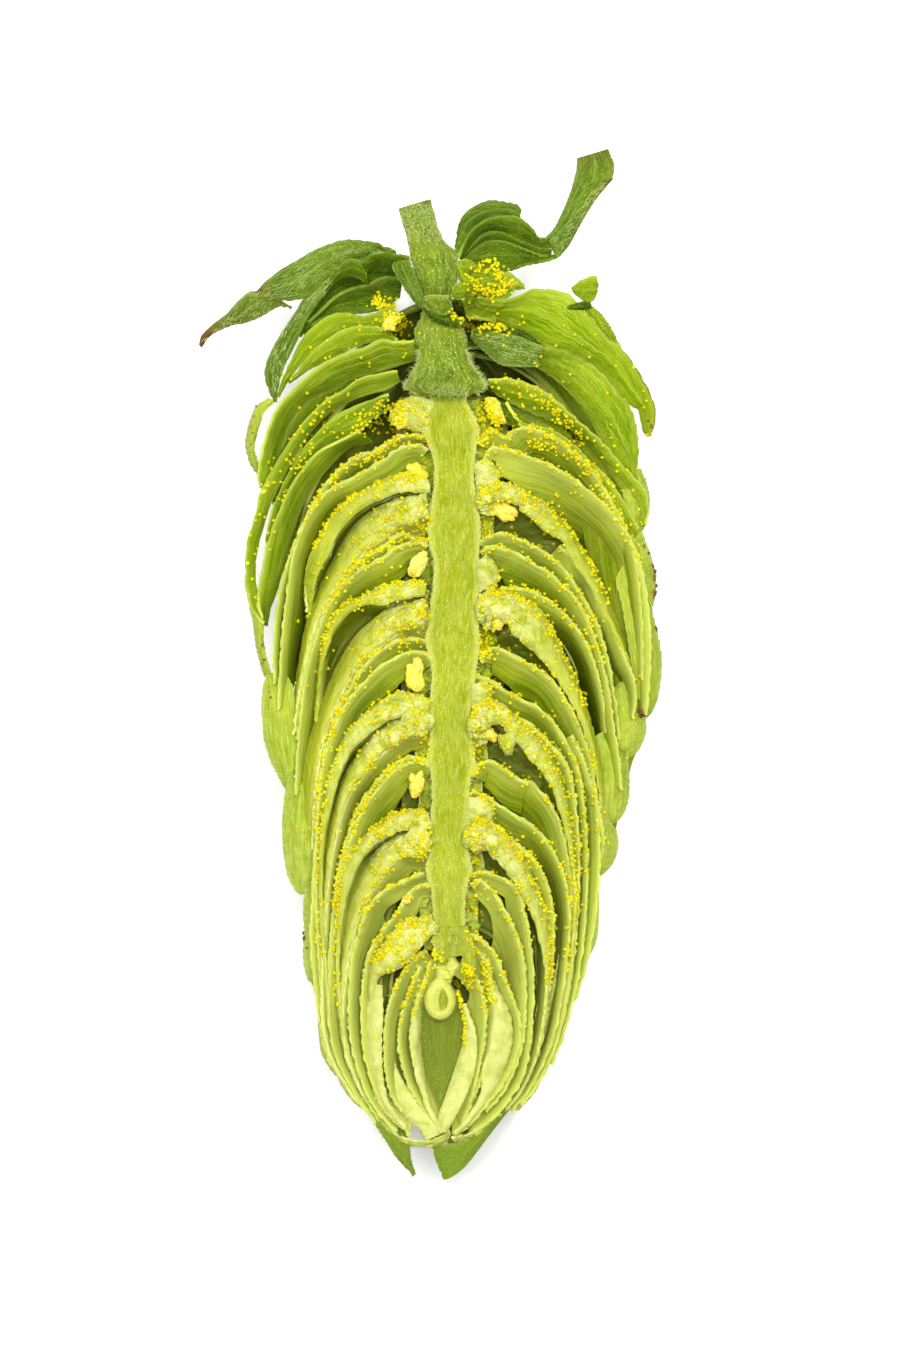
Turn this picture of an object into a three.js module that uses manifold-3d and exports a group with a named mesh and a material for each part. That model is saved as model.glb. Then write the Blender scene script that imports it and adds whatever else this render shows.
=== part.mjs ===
// One half of a hop cone, cut lengthwise through its strig and lying on its rounded back, cut face up.
// Millimetres. +Y runs along the cone towards the stalk, +X to the right of the cut face, +Z up out of it.
// Heights along the cone below are in its own drawing; the nodes are moved so that the origin is on the resting spot.
import * as THREE from "three";
import { mergeVertices } from "three/addons/utils/BufferGeometryUtils.js";
import Module from "manifold-3d";

// Driving dimensions
const CUT_HEIGHT = 9.6; // the cut face, above the surface that the back lies on
const WIDEST_RADIUS = 10.2; // the cone's outline where it is widest
const WIDEST_AT = 5; // that height along the cone
const SHOULDER_AT = 19.5; // where the outline closes above
const TIP_AT = -27; // where the outline closes below
const TOP_TIER = 14.9; // the first tier of scales that the knife cut
const TIERS = 6;
const TIER_STEP = 4.6; // from a tier to the next, growing towards the tip
const TIER_GROWTH = 0.14;
const HALF_TIER = 2.5; // how far the rows between lie below their neighbours
const BLADE_THICKNESS = 0.62;
const BLADE_SHARE = 0.38; // a bract's half width, as a share of the outline where it lies
const BRACT_DROP = 12; // from a bract's root down to its tip
const STRIG_SIDES = 10;
const SEED_RADIUS = 0.62; // a seed beside the strig, as long again by half
const SEED_OUT = 2.3; // from the strig's middle to a seed's
const SEED_DROP = { left: 1.9, right: 3.3 }; // from a tier's root down to its seed
const KNIFE_TOP = 12.4; // above this the strig and stalk are whole
const REST_AT = 4.2; // height along the cone of the flat spot it lies on

const radians = (degrees) => (degrees * Math.PI) / 180;

// The cone's outline radius at a height along it: a flat shoulder above, a long taper below.
function outlineRadius(y) {
  if (y >= WIDEST_AT) {
    const t = Math.min(1, (y - WIDEST_AT) / (SHOULDER_AT - WIDEST_AT));
    return WIDEST_RADIUS * Math.sqrt(1 - t ** 3);
  }
  const t = Math.min(1, (WIDEST_AT - y) / (WIDEST_AT - TIP_AT));
  return WIDEST_RADIUS * (1 - t ** 1.8) ** 0.65;
}

const tierHeight = (tier) => TOP_TIER - TIER_STEP * tier - TIER_GROWTH * tier ** 2;

// The strig leans a little to the left towards its stalk.
const strigLean = (y) => -0.0105 * Math.max(0, y - 9) ** 2;

// A scale's middle line in the plane of its azimuth: out of the strig, over a bend, and down to its tip.
function scaleLine({ root, drop, tuck = 0 }) {
  const start = new THREE.Vector2(0.3, root);
  const bend = new THREE.Vector2(0.5 * outlineRadius(root - 1), root + 0.35);
  const side = new THREE.Vector2(0.9 * outlineRadius(root - 0.45 * drop) - tuck, root - 0.4 * drop);
  const tip = new THREE.Vector2(outlineRadius(root - drop) - 0.3 - tuck, root - drop);
  return new THREE.CubicBezierCurve(start, bend, side, tip);
}

// Share of the half width: narrow at the base, widest past the middle, and drawn in to a pointed tip.
const ovate = (u) => 0.1 + 0.2 * (1 - u) + 0.8 * Math.sin(Math.PI * u ** 1.45) ** 0.6;

// A closed thin sheet round the points middle(u, v), u along it and v from -1 to 1 across it.
function sheetGeometry(middle, rows, columns, thickness) {
  const step = 1e-3;
  const faces = [1, -1].map((side) => {
    const points = [];
    for (let i = 0; i <= rows; i++) {
      for (let j = 0; j <= columns; j++) {
        const u = Math.min(1 - step, Math.max(step, i / rows));
        const v = -1 + (2 * j) / columns;
        const along = middle(u + step, v).sub(middle(u - step, v));
        const across = middle(u, v + step).sub(middle(u, v - step));
        const normal = along.cross(across).normalize();
        points.push(middle(i / rows, v).addScaledVector(normal, (side * thickness) / 2));
      }
    }
    return points;
  });
  const front = (i, j) => i * (columns + 1) + j;
  const back = (i, j) => front(i, j) + faces[0].length;
  const index = [];
  const quad = (a, b, c, d) => index.push(a, b, c, a, c, d);
  for (let i = 0; i < rows; i++) {
    for (let j = 0; j < columns; j++) {
      quad(front(i, j), front(i + 1, j), front(i + 1, j + 1), front(i, j + 1));
      index.push(back(i, j), back(i + 1, j + 1), back(i + 1, j));
      index.push(back(i, j), back(i, j + 1), back(i + 1, j + 1));
    }
    quad(front(i + 1, 0), front(i, 0), back(i, 0), back(i + 1, 0));
    quad(front(i, columns), front(i + 1, columns), back(i + 1, columns), back(i, columns));
  }
  for (let j = 0; j < columns; j++) {
    quad(front(0, j), front(0, j + 1), back(0, j + 1), back(0, j));
    quad(front(rows, j + 1), front(rows, j), back(rows, j), back(rows, j + 1));
  }
  const geometry = new THREE.BufferGeometry().setFromPoints([...faces[0], ...faces[1]]);
  geometry.setIndex(index);
  return geometry;
}

// A scale on the strig. Its azimuth runs from the right of the cut face round the back to the left.
// Across, it bends at the cone's own radius times the hug, so under 1 it is cupped.
function scaleGeometry({ azimuth, line, halfWidth, hug = 1, rows, columns }) {
  const heading = radians(azimuth);
  const outward = new THREE.Vector3(Math.cos(heading), 0, -Math.sin(heading));
  const middle = (u, v) => {
    const { x: radius, y } = line.getPoint(u);
    const bend = Math.max(1.6, radius * hug);
    const turn = heading + (v * halfWidth * ovate(u)) / bend;
    const point = new THREE.Vector3(Math.cos(turn), 0, -Math.sin(turn)).multiplyScalar(bend);
    point.addScaledVector(outward, radius - bend);
    return point.add(new THREE.Vector3(strigLean(y), y, CUT_HEIGHT));
  };
  return sheetGeometry(middle, rows, columns, BLADE_THICKNESS);
}

// The strig, its stalk and the round bud at its end as one turned shape: height, then radius.
const STRIG_PROFILE = [
  [22, 0.75], [19.6, 0.8], [17.6, 1.2], [16.8, 0.9], [15.2, 1.3], [14.3, 1.15], [13, 2.05], [12.3, 1],
  [10.4, 1.35], [9, 1.1], [5.4, 1.3], [3.6, 1.1], [0, 1.25], [-2, 1.05], [-5.8, 1.1], [-8, 0.95],
  [-11.6, 1], [-14, 0.8], [-15.6, 0.85], [-16.3, 0.45], [-17.2, 0.85], [-18.2, 0.85], [-18.9, 0.45],
];

function strigGeometry() {
  const outline = STRIG_PROFILE.map(([y, radius]) => new THREE.Vector2(radius, y)).reverse();
  outline.unshift(new THREE.Vector2(0, outline[0].y));
  outline.push(new THREE.Vector2(0, outline[outline.length - 1].y));
  const geometry = new THREE.LatheGeometry(outline, STRIG_SIDES);
  const place = geometry.getAttribute("position");
  for (let i = 0; i < place.count; i++) {
    place.setX(i, place.getX(i) + strigLean(place.getY(i)));
    place.setZ(i, place.getZ(i) + CUT_HEIGHT);
  }
  return geometry;
}

// A leaf at the stalk: a boat-shaped sheet along a spine, hollow towards where it faces.
function leafGeometry({ spine, halfWidths, facing, hollow, rows, columns = 4 }) {
  const curve = new THREE.CatmullRomCurve3(spine.map((p) => new THREE.Vector3(...p)));
  const widths = new THREE.SplineCurve(halfWidths.map((w, i) => new THREE.Vector2(i, w)));
  const towards = new THREE.Vector3(...facing).normalize();
  const middle = (u, v) => {
    const t = Math.min(1, Math.max(0, u));
    const tangent = curve.getTangent(t);
    const across = new THREE.Vector3().crossVectors(towards, tangent).normalize();
    const lift = new THREE.Vector3().crossVectors(tangent, across).normalize();
    const halfWidth = widths.getPoint(t).y;
    const point = curve.getPoint(t).addScaledVector(tangent, (u - t) * curve.getLength());
    return point.addScaledVector(across, v * halfWidth).addScaledVector(lift, hollow * halfWidth * v * v);
  };
  return sheetGeometry(middle, rows, columns, BLADE_THICKNESS);
}

const wasm = await Module();
wasm.setup();

function solidOf(geometry) {
  const bare = geometry.clone();
  bare.deleteAttribute("normal");
  bare.deleteAttribute("uv");
  const merged = mergeVertices(bare, 1e-4);
  return new wasm.Manifold(
    new wasm.Mesh({
      numProp: 3,
      vertProperties: merged.getAttribute("position").array,
      triVerts: new Uint32Array(merged.index.array),
    }),
  );
}

function boxSolid(low, high) {
  const size = new THREE.Vector3().subVectors(high, low);
  const box = new THREE.BoxGeometry(size.x, size.y, size.z);
  box.translate((low.x + high.x) / 2, (low.y + high.y) / 2, (low.z + high.z) / 2);
  return solidOf(box);
}

// The outer body of a fused solid: hollows that the fusing sealed are filled, and loose scraps dropped.
function geometryOf(solid) {
  const body = solid.decompose().sort((a, b) => b.volume() - a.volume())[0];
  const mesh = body.getMesh();
  const geometry = new THREE.BufferGeometry();
  geometry.setAttribute("position", new THREE.BufferAttribute(mesh.vertProperties, 3));
  geometry.setIndex(new THREE.BufferAttribute(mesh.triVerts, 1));
  return geometry;
}

const FAR = 60;
const aboveCut = boxSolid(new THREE.Vector3(-FAR, -FAR, CUT_HEIGHT), new THREE.Vector3(FAR, FAR, FAR));
const knife = boxSolid(new THREE.Vector3(-FAR, -FAR, CUT_HEIGHT), new THREE.Vector3(FAR, KNIFE_TOP, FAR));
const ground = boxSolid(new THREE.Vector3(-FAR, -FAR, -FAR), new THREE.Vector3(FAR, FAR, 0));

function seedSolid(x, y) {
  const seed = new THREE.SphereGeometry(SEED_RADIUS, 6, 4).scale(1, 1.5, 1);
  return solidOf(seed.translate(x, y, CUT_HEIGHT - 0.2));
}

function hopConeGeometry() {
  const scales = [];
  const seeds = [];
  const add = (shape) => scales.push(solidOf(scaleGeometry(shape)));
  const addBract = (azimuth, root, drop) => {
    const halfWidth = BLADE_SHARE * Math.max(4, outlineRadius(root - 0.6 * drop));
    add({ azimuth, line: scaleLine({ root, drop }), halfWidth, rows: 5, columns: 4 });
  };
  for (let tier = 0; tier < TIERS; tier++) {
    const root = tierHeight(tier);
    // Long bracts in five rows round the back, every other row lower.
    [10, 50, 90, 130, 170].forEach((azimuth, row) => addBract(azimuth, root - (row % 2) * HALF_TIER, BRACT_DROP));
    // Short bracteoles that the knife cut, between the long bracts, and a seed under each upper one.
    [4, 176].forEach((azimuth) => {
      const cupped = { azimuth, rows: 3, columns: 2 };
      add({ ...cupped, line: scaleLine({ root: root - 1.3, drop: 7, tuck: 2.2 }), halfWidth: 2.6, hug: 0.6 });
      add({ ...cupped, line: scaleLine({ root: root - 2.7, drop: 6, tuck: 2.2 }), halfWidth: 2.2, hug: 0.5 });
    });
    seeds.push(seedSolid(-SEED_OUT, root - SEED_DROP.left), seedSolid(SEED_OUT, root - SEED_DROP.right));
  }
  // Shoulder bracts above, and the bracts that close the tip.
  [8, 48, 90, 132, 172].forEach((azimuth, row) => addBract(azimuth, 17.4 - (row % 2) * 0.8, 8));
  [8, 90, 172].forEach((azimuth) => addBract(azimuth, -15, 11.6));
  const strig = solidOf(strigGeometry()).subtract(knife);
  const cut = wasm.Manifold.union(scales).subtract(aboveCut);
  return geometryOf(wasm.Manifold.union([cut, strig, ...seeds]).subtract(ground));
}

const green = new THREE.MeshStandardMaterial({ color: 0x9fbf3a, roughness: 0.55, metalness: 0 });
const darkGreen = new THREE.MeshStandardMaterial({ color: 0x5f8a2c, roughness: 0.55, metalness: 0 });

const hop = new THREE.Group();
function addNode(name, geometry, material) {
  const mesh = new THREE.Mesh(geometry, material);
  mesh.name = name;
  mesh.position.y = -REST_AT;
  hop.add(mesh);
}
addNode("hop_cone", hopConeGeometry(), green);
addNode(
  "leaf_left",
  leafGeometry({
    spine: [
      [-2.25, 19.1, 9.8], [-4.3, 19.6, 10.4], [-6.4, 19.2, 10.5],
      [-8.5, 17.9, 10.2], [-10.4, 16.3, 9.6], [-12.3, 14.9, 9],
    ],
    halfWidths: [0.45, 0.9, 1.25, 1.2, 0.8, 0.25],
    facing: [0.1, -0.35, 1],
    hollow: -0.45,
    rows: 9,
  }),
  darkGreen,
);
addNode(
  "leaf_right",
  leafGeometry({
    spine: [
      [-0.02, 19.7, 9.8], [1.5, 20.2, 10.3], [3.1, 20.1, 10.5], [4.5, 19.7, 10.4],
      [5.5, 20.3, 10.1], [6.3, 22, 9.8], [7.1, 24, 9.7],
    ],
    halfWidths: [0.5, 1.2, 1.45, 0.85, 0.5, 0.6, 0.75],
    facing: [0, -0.3, 1],
    hollow: -0.35,
    rows: 12,
  }),
  darkGreen,
);

export default hop;
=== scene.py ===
import math

import bpy
import numpy as np
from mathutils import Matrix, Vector
from mathutils.bvhtree import BVHTree


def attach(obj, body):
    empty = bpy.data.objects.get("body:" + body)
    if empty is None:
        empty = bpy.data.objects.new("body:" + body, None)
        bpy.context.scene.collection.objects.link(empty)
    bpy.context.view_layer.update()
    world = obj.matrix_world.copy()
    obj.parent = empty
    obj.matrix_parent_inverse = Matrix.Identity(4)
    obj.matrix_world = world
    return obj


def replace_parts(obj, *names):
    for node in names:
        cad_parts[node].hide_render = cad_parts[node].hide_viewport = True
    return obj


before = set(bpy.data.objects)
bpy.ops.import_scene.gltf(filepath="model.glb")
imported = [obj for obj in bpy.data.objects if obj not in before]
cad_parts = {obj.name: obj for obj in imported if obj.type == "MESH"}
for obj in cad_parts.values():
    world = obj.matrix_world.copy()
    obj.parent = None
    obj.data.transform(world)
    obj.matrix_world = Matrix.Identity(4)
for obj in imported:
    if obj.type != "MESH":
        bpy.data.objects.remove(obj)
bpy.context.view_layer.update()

# Millimetres until a mesh is made. Points on the cut face are given in pixels of the 900 by 1353 view.
PIXEL = 0.05
AXIS_PX, ZERO_PX = 452, 556
CUT = 9.6
MM = 0.001
rng = np.random.default_rng(41)


def plan(points):
    """Pixels of the view to millimetres on the cut face."""
    points = np.asarray(points, float)
    return np.stack([(points[..., 0] - AXIS_PX) * PIXEL, (ZERO_PX - points[..., 1]) * PIXEL], -1)


def line(pairs):
    """Points of the view, written as x,y pairs."""
    return np.array([pair.split(",") for pair in pairs.split()], float)


def path_through(points, count):
    """Evenly spaced points on a smooth curve through the given ones, which may be written as x,y pairs."""
    points = line(points) if isinstance(points, str) else points
    along = np.r_[0, np.cumsum(np.linalg.norm(np.diff(points, axis=0), axis=1))]
    slope = np.gradient(points, along, axis=0)
    s = np.linspace(0, along[-1], count)
    i = np.clip(np.searchsorted(along, s, side="right") - 1, 0, len(along) - 2)
    h = (along[i + 1] - along[i])[:, None]
    t = (s - along[i])[:, None] / h
    start = (2 * t**3 - 3 * t**2 + 1) * points[i] + (t**3 - 2 * t**2 + t) * h * slope[i]
    return start + (3 * t**2 - 2 * t**3) * points[i + 1] + (t**3 - t**2) * h * slope[i + 1]


def bezier(p0, p1, p2, p3, count):
    """Points on the curve from p0 to p3, drawn towards p1 and p2."""
    t = np.linspace(0, 1, count)[:, None]
    p0, p1, p2, p3 = (np.asarray(p, float) for p in (p0, p1, p2, p3))
    return (1 - t) ** 3 * p0 + 3 * t * (1 - t) ** 2 * p1 + 3 * t**2 * (1 - t) * p2 + t**3 * p3


def ripple(x, cycles, octaves=4):
    """Smooth seeded noise along x, about -1 to 1, with so many cycles over one unit of x."""
    total = 0
    for k in range(octaves):
        total = total + np.sin(2 * math.pi * (x * cycles * 1.9**k + rng.random())) / 1.5**k
    return total / 2


def ramp(x, stops):
    """Straight lines through the stops, each a place and its value."""
    return np.interp(x, [s[0] for s in stops], [s[1] for s in stops])


def lumps(x, y, size):
    """Rounded seeded bumps over the plane, about -1 to 1, so many millimetres apart."""
    total = 0
    for k in range(3):
        turned, scale = rng.uniform(0, math.pi), 2 * math.pi / size * 1.6**k
        a = x * math.cos(turned) + y * math.sin(turned)
        b = y * math.cos(turned) - x * math.sin(turned)
        total = total + np.sin(a * scale + rng.uniform(0, 6)) * np.sin(b * scale + rng.uniform(0, 6)) / 1.9**k
    return total / 1.4


def smoothed(values, width):
    soft = np.hanning(width) / np.hanning(width).sum()
    return np.convolve(np.pad(values, width // 2, "edge"), soft, "valid")


# What the materials read at each vertex, 0 where it isn't given; shade is painted shade
MARKS = ("along", "across", "tone", "edge", "wet", "shade", "brown")


class Bundle:
    """Closed meshes gathered into one piece."""

    def __init__(self, name, material, slot="bract"):
        self.name, self.material, self.slot = name, material, slot
        self.points, self.faces, self.flat, self.marks = [], [], [], []
        self.size = 0

    def add(self, points, faces, marks, flat=None):
        """faces holds arrays of them, and flat says which aren't shaded smooth."""
        self.points.append(points)
        for some in faces:
            self.faces += (some + self.size).tolist()
        self.flat.append(np.zeros(sum(map(len, faces)), bool) if flat is None else flat)
        self.marks.append(marks)
        self.size += len(points)

    def build(self):
        mesh = bpy.data.meshes.new(self.name)
        mesh.from_pydata((np.concatenate(self.points) * MM).tolist(), [], self.faces)
        for key in MARKS:
            values = [np.broadcast_to(m.get(key, 0.0), len(p)) for m, p in zip(self.marks, self.points)]
            values = np.concatenate(values).astype(np.float32)
            mesh.attributes.new(key, "FLOAT", "POINT").data.foreach_set("value", values)
        sharp = mesh.attributes.new("sharp_face", "BOOLEAN", "FACE")
        sharp.data.foreach_set("value", np.concatenate(self.flat))
        mesh.materials.append(self.material)
        piece = bpy.data.objects.new(self.name, mesh)
        bpy.context.scene.collection.objects.link(piece)
        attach(piece, "root")
        return piece


def quads(*corners):
    return np.stack([corner.ravel() for corner in corners], 1)


def sheet(bundle, middle, thickness, marks):
    """A closed sheet round a grid of middle points, rows along it and columns across."""
    shape = middle.shape[:2]
    normal = np.cross(np.gradient(middle, axis=0), np.gradient(middle, axis=1))
    normal /= np.maximum(np.linalg.norm(normal, axis=2, keepdims=True), 1e-9)
    half = np.broadcast_to(thickness, shape)[..., None] / 2
    front, back = middle + normal * half, middle - normal * half
    near = np.arange(shape[0] * shape[1]).reshape(shape)
    far = near + near.size
    faces = [
        quads(near[:-1, :-1], near[1:, :-1], near[1:, 1:], near[:-1, 1:]),
        quads(far[:-1, :-1], far[:-1, 1:], far[1:, 1:], far[1:, :-1]),
        quads(near[1:, 0], near[:-1, 0], far[:-1, 0], far[1:, 0]),
        quads(near[:-1, -1], near[1:, -1], far[1:, -1], far[:-1, -1]),
        quads(near[0, :-1], near[0, 1:], far[0, 1:], far[0, :-1]),
        quads(near[-1, 1:], near[-1, :-1], far[-1, :-1], far[-1, 1:]),
    ]
    flat = np.concatenate([np.full(len(f), k > 1) for k, f in enumerate(faces)])
    both = {key: np.tile(np.broadcast_to(value, shape).ravel(), 2) for key, value in marks.items()}
    bundle.add(np.concatenate([front.reshape(-1, 3), back.reshape(-1, 3)]), faces, both, flat)


def tube(bundle, rings, marks, inside_out=False):
    """A closed skin over rings of points, with a fan over each end, where a mark over the rings is 0."""
    shape = rings.shape[:2]
    index = np.arange(shape[0] * shape[1]).reshape(shape)
    index = np.concatenate([index, index[:, :1]], 1)
    first = np.full(shape[1], shape[0] * shape[1])
    faces = [
        quads(index[:-1, :-1], index[:-1, 1:], index[1:, 1:], index[1:, :-1]),
        quads(index[0, 1:], index[0, :-1], first),
        quads(index[-1, :-1], index[-1, 1:], first + 1),
    ]
    if inside_out:
        faces = [faces[0][:, [0, 3, 2, 1]], faces[1][:, [1, 0, 2]], faces[2][:, [1, 0, 2]]]
    values = {}
    for key, value in marks.items():
        values[key] = np.r_[np.broadcast_to(value, shape).ravel(), 0, 0] if np.ndim(value) else value
    bundle.add(np.concatenate([rings.reshape(-1, 3), [rings[0].mean(0), rings[-1].mean(0)]]), faces, values)


# Materials


class Nodes:
    """The nodes of one new material."""

    def __init__(self, name):
        self.material = bpy.data.materials.new(name)
        self.material.use_nodes = True
        self.tree = self.material.node_tree
        self.tree.nodes.clear()

    def feed(self, socket, value):
        if isinstance(value, bpy.types.NodeSocket):
            self.tree.links.new(value, socket)
        else:
            socket.default_value = value

    def put(self, kind, settings=None, **inputs):
        """The first output of a new node. An input goes by its name, or by its place, as _1."""
        made = self.tree.nodes.new(kind)
        for key, value in (settings or {}).items():
            setattr(made, key, value)
        for key, value in inputs.items():
            self.feed(made.inputs[int(key[1:]) if key[0] == "_" else key.replace("_", " ")], value)
        return made.outputs[0] if made.outputs else None

    def mark(self, name):
        return self.put("ShaderNodeAttribute", {"attribute_name": name}).node.outputs["Fac"]

    def math(self, operation, a, b=0.0, c=0.0):
        return self.put("ShaderNodeMath", {"operation": operation}, _0=a, _1=b, _2=c)

    def mix(self, share, a, b):
        """Colour a where share is 0, and b where it is 1."""
        made = self.tree.nodes.new("ShaderNodeMix")
        made.data_type = "RGBA"
        self.feed(made.inputs[0], share)
        for socket, value in ((made.inputs[6], a), (made.inputs[7], b)):
            self.feed(socket, (*value, 1) if isinstance(value, tuple) else value)
        return made.outputs[2]

    def noise(self, vector, scale, detail=3.0, rough=0.55):
        return self.put("ShaderNodeTexNoise", Vector=vector, Scale=scale, Detail=detail, Roughness=rough)

    def between(self, value, low, high):
        """0 up to low and 1 from high on, also where high is the lower one."""
        return self.put("ShaderNodeMapRange", {"interpolation_type": "SMOOTHSTEP"}, Value=value, From_Min=low,
                        From_Max=high)


# Metres along the cone where it begins to pale towards its foot, and where it is palest
PALE_FROM, PALE_AT = -0.011, -0.026
GLAND_AND_GLINT = (0.82, 0.88, 0.36)
WITHERED = (0.22, 0.06, 0.025)


def plant(name, deep, bright, pale, through, see=0.5, rough=0.45, bump=0.00006, gloss=0.08, specks=0.0,
          veins=0.0, fade=0.5):
    """Plant tissue with streaks along it, which lets light through. specks is the share of small white
    specks, hairs and glands and painted glints, veins that of pale veins, and fade how pale it gets towards
    the foot of the cone."""
    nodes = Nodes(name)
    put, math_node, mix, noise, between = nodes.put, nodes.math, nodes.mix, nodes.noise, nodes.between
    along, across, tone, edge, wet, shade, brown = map(nodes.mark, MARKS)
    place = put("ShaderNodeTexCoord").node.outputs["Object"]
    light = tuple(0.7 * b + share * p for b, p, share in zip(bright, pale, (0.3, 0.3, 0.03)))

    def times(a, b):
        return math_node("MULTIPLY", a, b)

    def lengthways(over, down):
        return put("ShaderNodeCombineXYZ", X=times(across, over), Y=times(along, down), Z=times(tone, 37.0))

    streak = noise(lengthways(14.0, 1.6), 2.2, 4.0)
    fibre = noise(lengthways(70.0, 4.0), 1.6)
    blotch = noise(place, 420.0, 4.0)
    smear = noise(lengthways(26.0, 5.0), 1.1, 5.0, 0.65)
    layers = [
        (times(between(fibre, 0.46, 0.62), 0.55), light),
        (times(between(blotch, 0.44, 0.64), 0.5), light),
        (times(tone, 0.35), light),
        (times(between(smear, 0.51, 0.66), 0.42), pale),
        (times(between(smear, 0.48, 0.34), 0.6), deep),
    ]
    if veins:
        off = math_node("ABSOLUTE", math_node("SUBTRACT", across, 0.5))
        ribs = math_node("SINE", math_node("ADD", times(along, 60.0), times(off, 26.0)))
        vein = math_node("MAXIMUM", times(between(ribs, 0.8, 1.0), 0.6), between(off, 0.05, 0.015))
        layers.append((times(vein, veins), pale))
    down_cone = put("ShaderNodeSeparateXYZ", Vector=place).node.outputs["Y"]
    layers += [
        (times(between(down_cone, PALE_FROM, PALE_AT), fade), pale),
        (times(wet, between(noise(place, 1400.0), 0.3, 0.62)), pale),
        # edge: pale margins and cut edges; on cut bracts partly painted light on the face near the cut
        (edge, pale),
        # Painted shade: the shade mark darkens the colour towards a third of the deep one
        (shade, tuple(0.3 * c for c in deep)),
    ]
    # White specks: small hairs and glands, and painted glints
    if specks:
        cell = put("ShaderNodeTexVoronoi", Vector=place, Scale=7000.0)
        layers.append((times(times(between(cell, 0.30, 0.14), between(blotch, 0.35, 0.6)), specks), GLAND_AND_GLINT))
    layers.append((times(brown, between(noise(place, 2500.0), 0.3, 0.55)), WITHERED))
    colour = mix(between(streak, 0.40, 0.66), deep, bright)
    for share, over in layers:
        colour = mix(share, colour, over)
    relief = math_node("ADD", math_node("ADD", streak, fibre), times(blotch, 2.0))
    grain = times(noise(place, 5000.0), math_node("MULTIPLY_ADD", wet, 0.25, 0.2))
    normal = put("ShaderNodeBump", Height=math_node("ADD", times(relief, 0.5), grain), Strength=0.6,
                 Distance=bump)
    roughness = math_node("SUBTRACT", rough, times(wet, 0.2))
    solid = put("ShaderNodeBsdfPrincipled", Base_Color=colour, Roughness=roughness, Normal=normal,
                Specular_IOR_Level=gloss)
    glow = put("ShaderNodeBsdfTranslucent", Color=mix(0.6, colour, through), Normal=normal)
    put("ShaderNodeOutputMaterial", Surface=put("ShaderNodeMixShader", Fac=see, _1=solid, _2=glow))
    return nodes.material


bract_look = plant("bract_tissue", (0.14, 0.235, 0.0003), (0.47, 0.575, 0.002), (0.76, 0.80, 0.17),
                   (0.50, 0.66, 0.001), see=0.4, gloss=0.04, specks=0.2, bump=0.00012)
flesh_look = plant("bracteole_tissue", (0.26, 0.36, 0.0005), (0.60, 0.65, 0.005), (0.84, 0.86, 0.26),
                   (0.60, 0.72, 0.002), see=0.35, rough=0.30, gloss=0.5, specks=0.35, bump=0.00012)
shoulder_look = plant("shoulder_tissue", (0.065, 0.155, 0.0003), (0.27, 0.42, 0.001), (0.66, 0.74, 0.10),
                      (0.36, 0.54, 0.001), see=0.3, gloss=0.05, specks=0.35, veins=0.25, bump=0.00014)
outer_look = plant("outer_bract_tissue", (0.21, 0.32, 0.004), (0.48, 0.58, 0.045), (0.74, 0.79, 0.28),
                   (0.50, 0.64, 0.03), see=0.3, specks=0.25, veins=0.2, fade=0.35, bump=0.00012)
leaf_look = plant("leaf_tissue", (0.016, 0.068, 0.0005), (0.085, 0.18, 0.001), (0.40, 0.53, 0.12),
                  (0.14, 0.30, 0.002), see=0.2, specks=0.3, veins=0.3, bump=0.00016, gloss=0.1)
hood_look = plant("hood_tissue", (0.010, 0.040, 0.0002), (0.066, 0.146, 0.0004), (0.36, 0.50, 0.05),
                  (0.24, 0.40, 0.0005), see=0.35, specks=0.25, veins=0.25, bump=0.00016, gloss=0.06)
strig_look = plant("strig_tissue", (0.17, 0.235, 0.0004), (0.30, 0.355, 0.002), (0.62, 0.65, 0.13),
                   (0.4, 0.5, 0.004), see=0.12, specks=0.4, fade=0.2, gloss=0.05, bump=0.00012)
stalk_look = plant("stalk_skin", (0.020, 0.064, 0.0001), (0.082, 0.155, 0.0003), (0.46, 0.56, 0.08),
                   (0.25, 0.38, 0.002), see=0.1, specks=0.55, bump=0.00014, gloss=0.08)
seed_look = plant("seed_skin", (0.84, 0.62, 0.012), (0.93, 0.78, 0.06), (0.97, 0.93, 0.42),
                  (0.95, 0.80, 0.06), see=0.25, gloss=0.4, fade=0.0, bump=0.0002)
lupulin_look = plant("lupulin_grain", (0.62, 0.48, 0.001), (0.88, 0.82, 0.003), (0.95, 0.94, 0.16),
                     (0.96, 0.90, 0.01), see=0.3, rough=0.22, bump=0.00002, gloss=0.4, fade=0.0)
hair_look = plant("hair", (0.50, 0.60, 0.12), (0.66, 0.74, 0.25), (0.9, 0.93, 0.6), (0.8, 0.88, 0.4), see=0.5,
                  rough=0.4, fade=0.0)
dirt_look = plant("withered_speck", (0.03, 0.012, 0.006), (0.16, 0.06, 0.025), (0.35, 0.18, 0.08),
                  (0.2, 0.08, 0.03), see=0.1, fade=0.0)

# Bracts that the knife cut: each follows its cut edge, and bends away behind the cut face to its own margin
ACROSS = np.array([0, 0.015, 0.04, 0.08, 0.14, 0.22, 0.32, 0.45, 0.62, 0.8, 1.0])
# At shares of its length: how wide it is, how many pixels show beside its cut edge, and how deep that lies
OVATE = [(0, 0.36), (0.12, 0.42), (0.3, 0.7), (0.55, 1), (0.8, 0.88), (0.9, 0.66), (0.96, 0.38), (0.99, 0.16),
         (1, 0.03)]
FACE = [(0, 5), (0.2, 12), (0.5, 16), (0.8, 12), (1, 6)]
SINK = [(0, 0), (0.75, 0), (1, 0.7)]
# Painted shade: how dark it is at distances from its cut edge, in millimetres, darker deeper behind the cut
# face
PAINTED_SHADE_BY_DEPTH = [(0.35, 0), (1.0, 0.35), (2.0, 0.75)]
# How much of the way its shown strip runs sideways
LEAN = 0.75
# Where lupulin lies: places in millimetres, and how far each grain may stray
dusting = []


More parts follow.
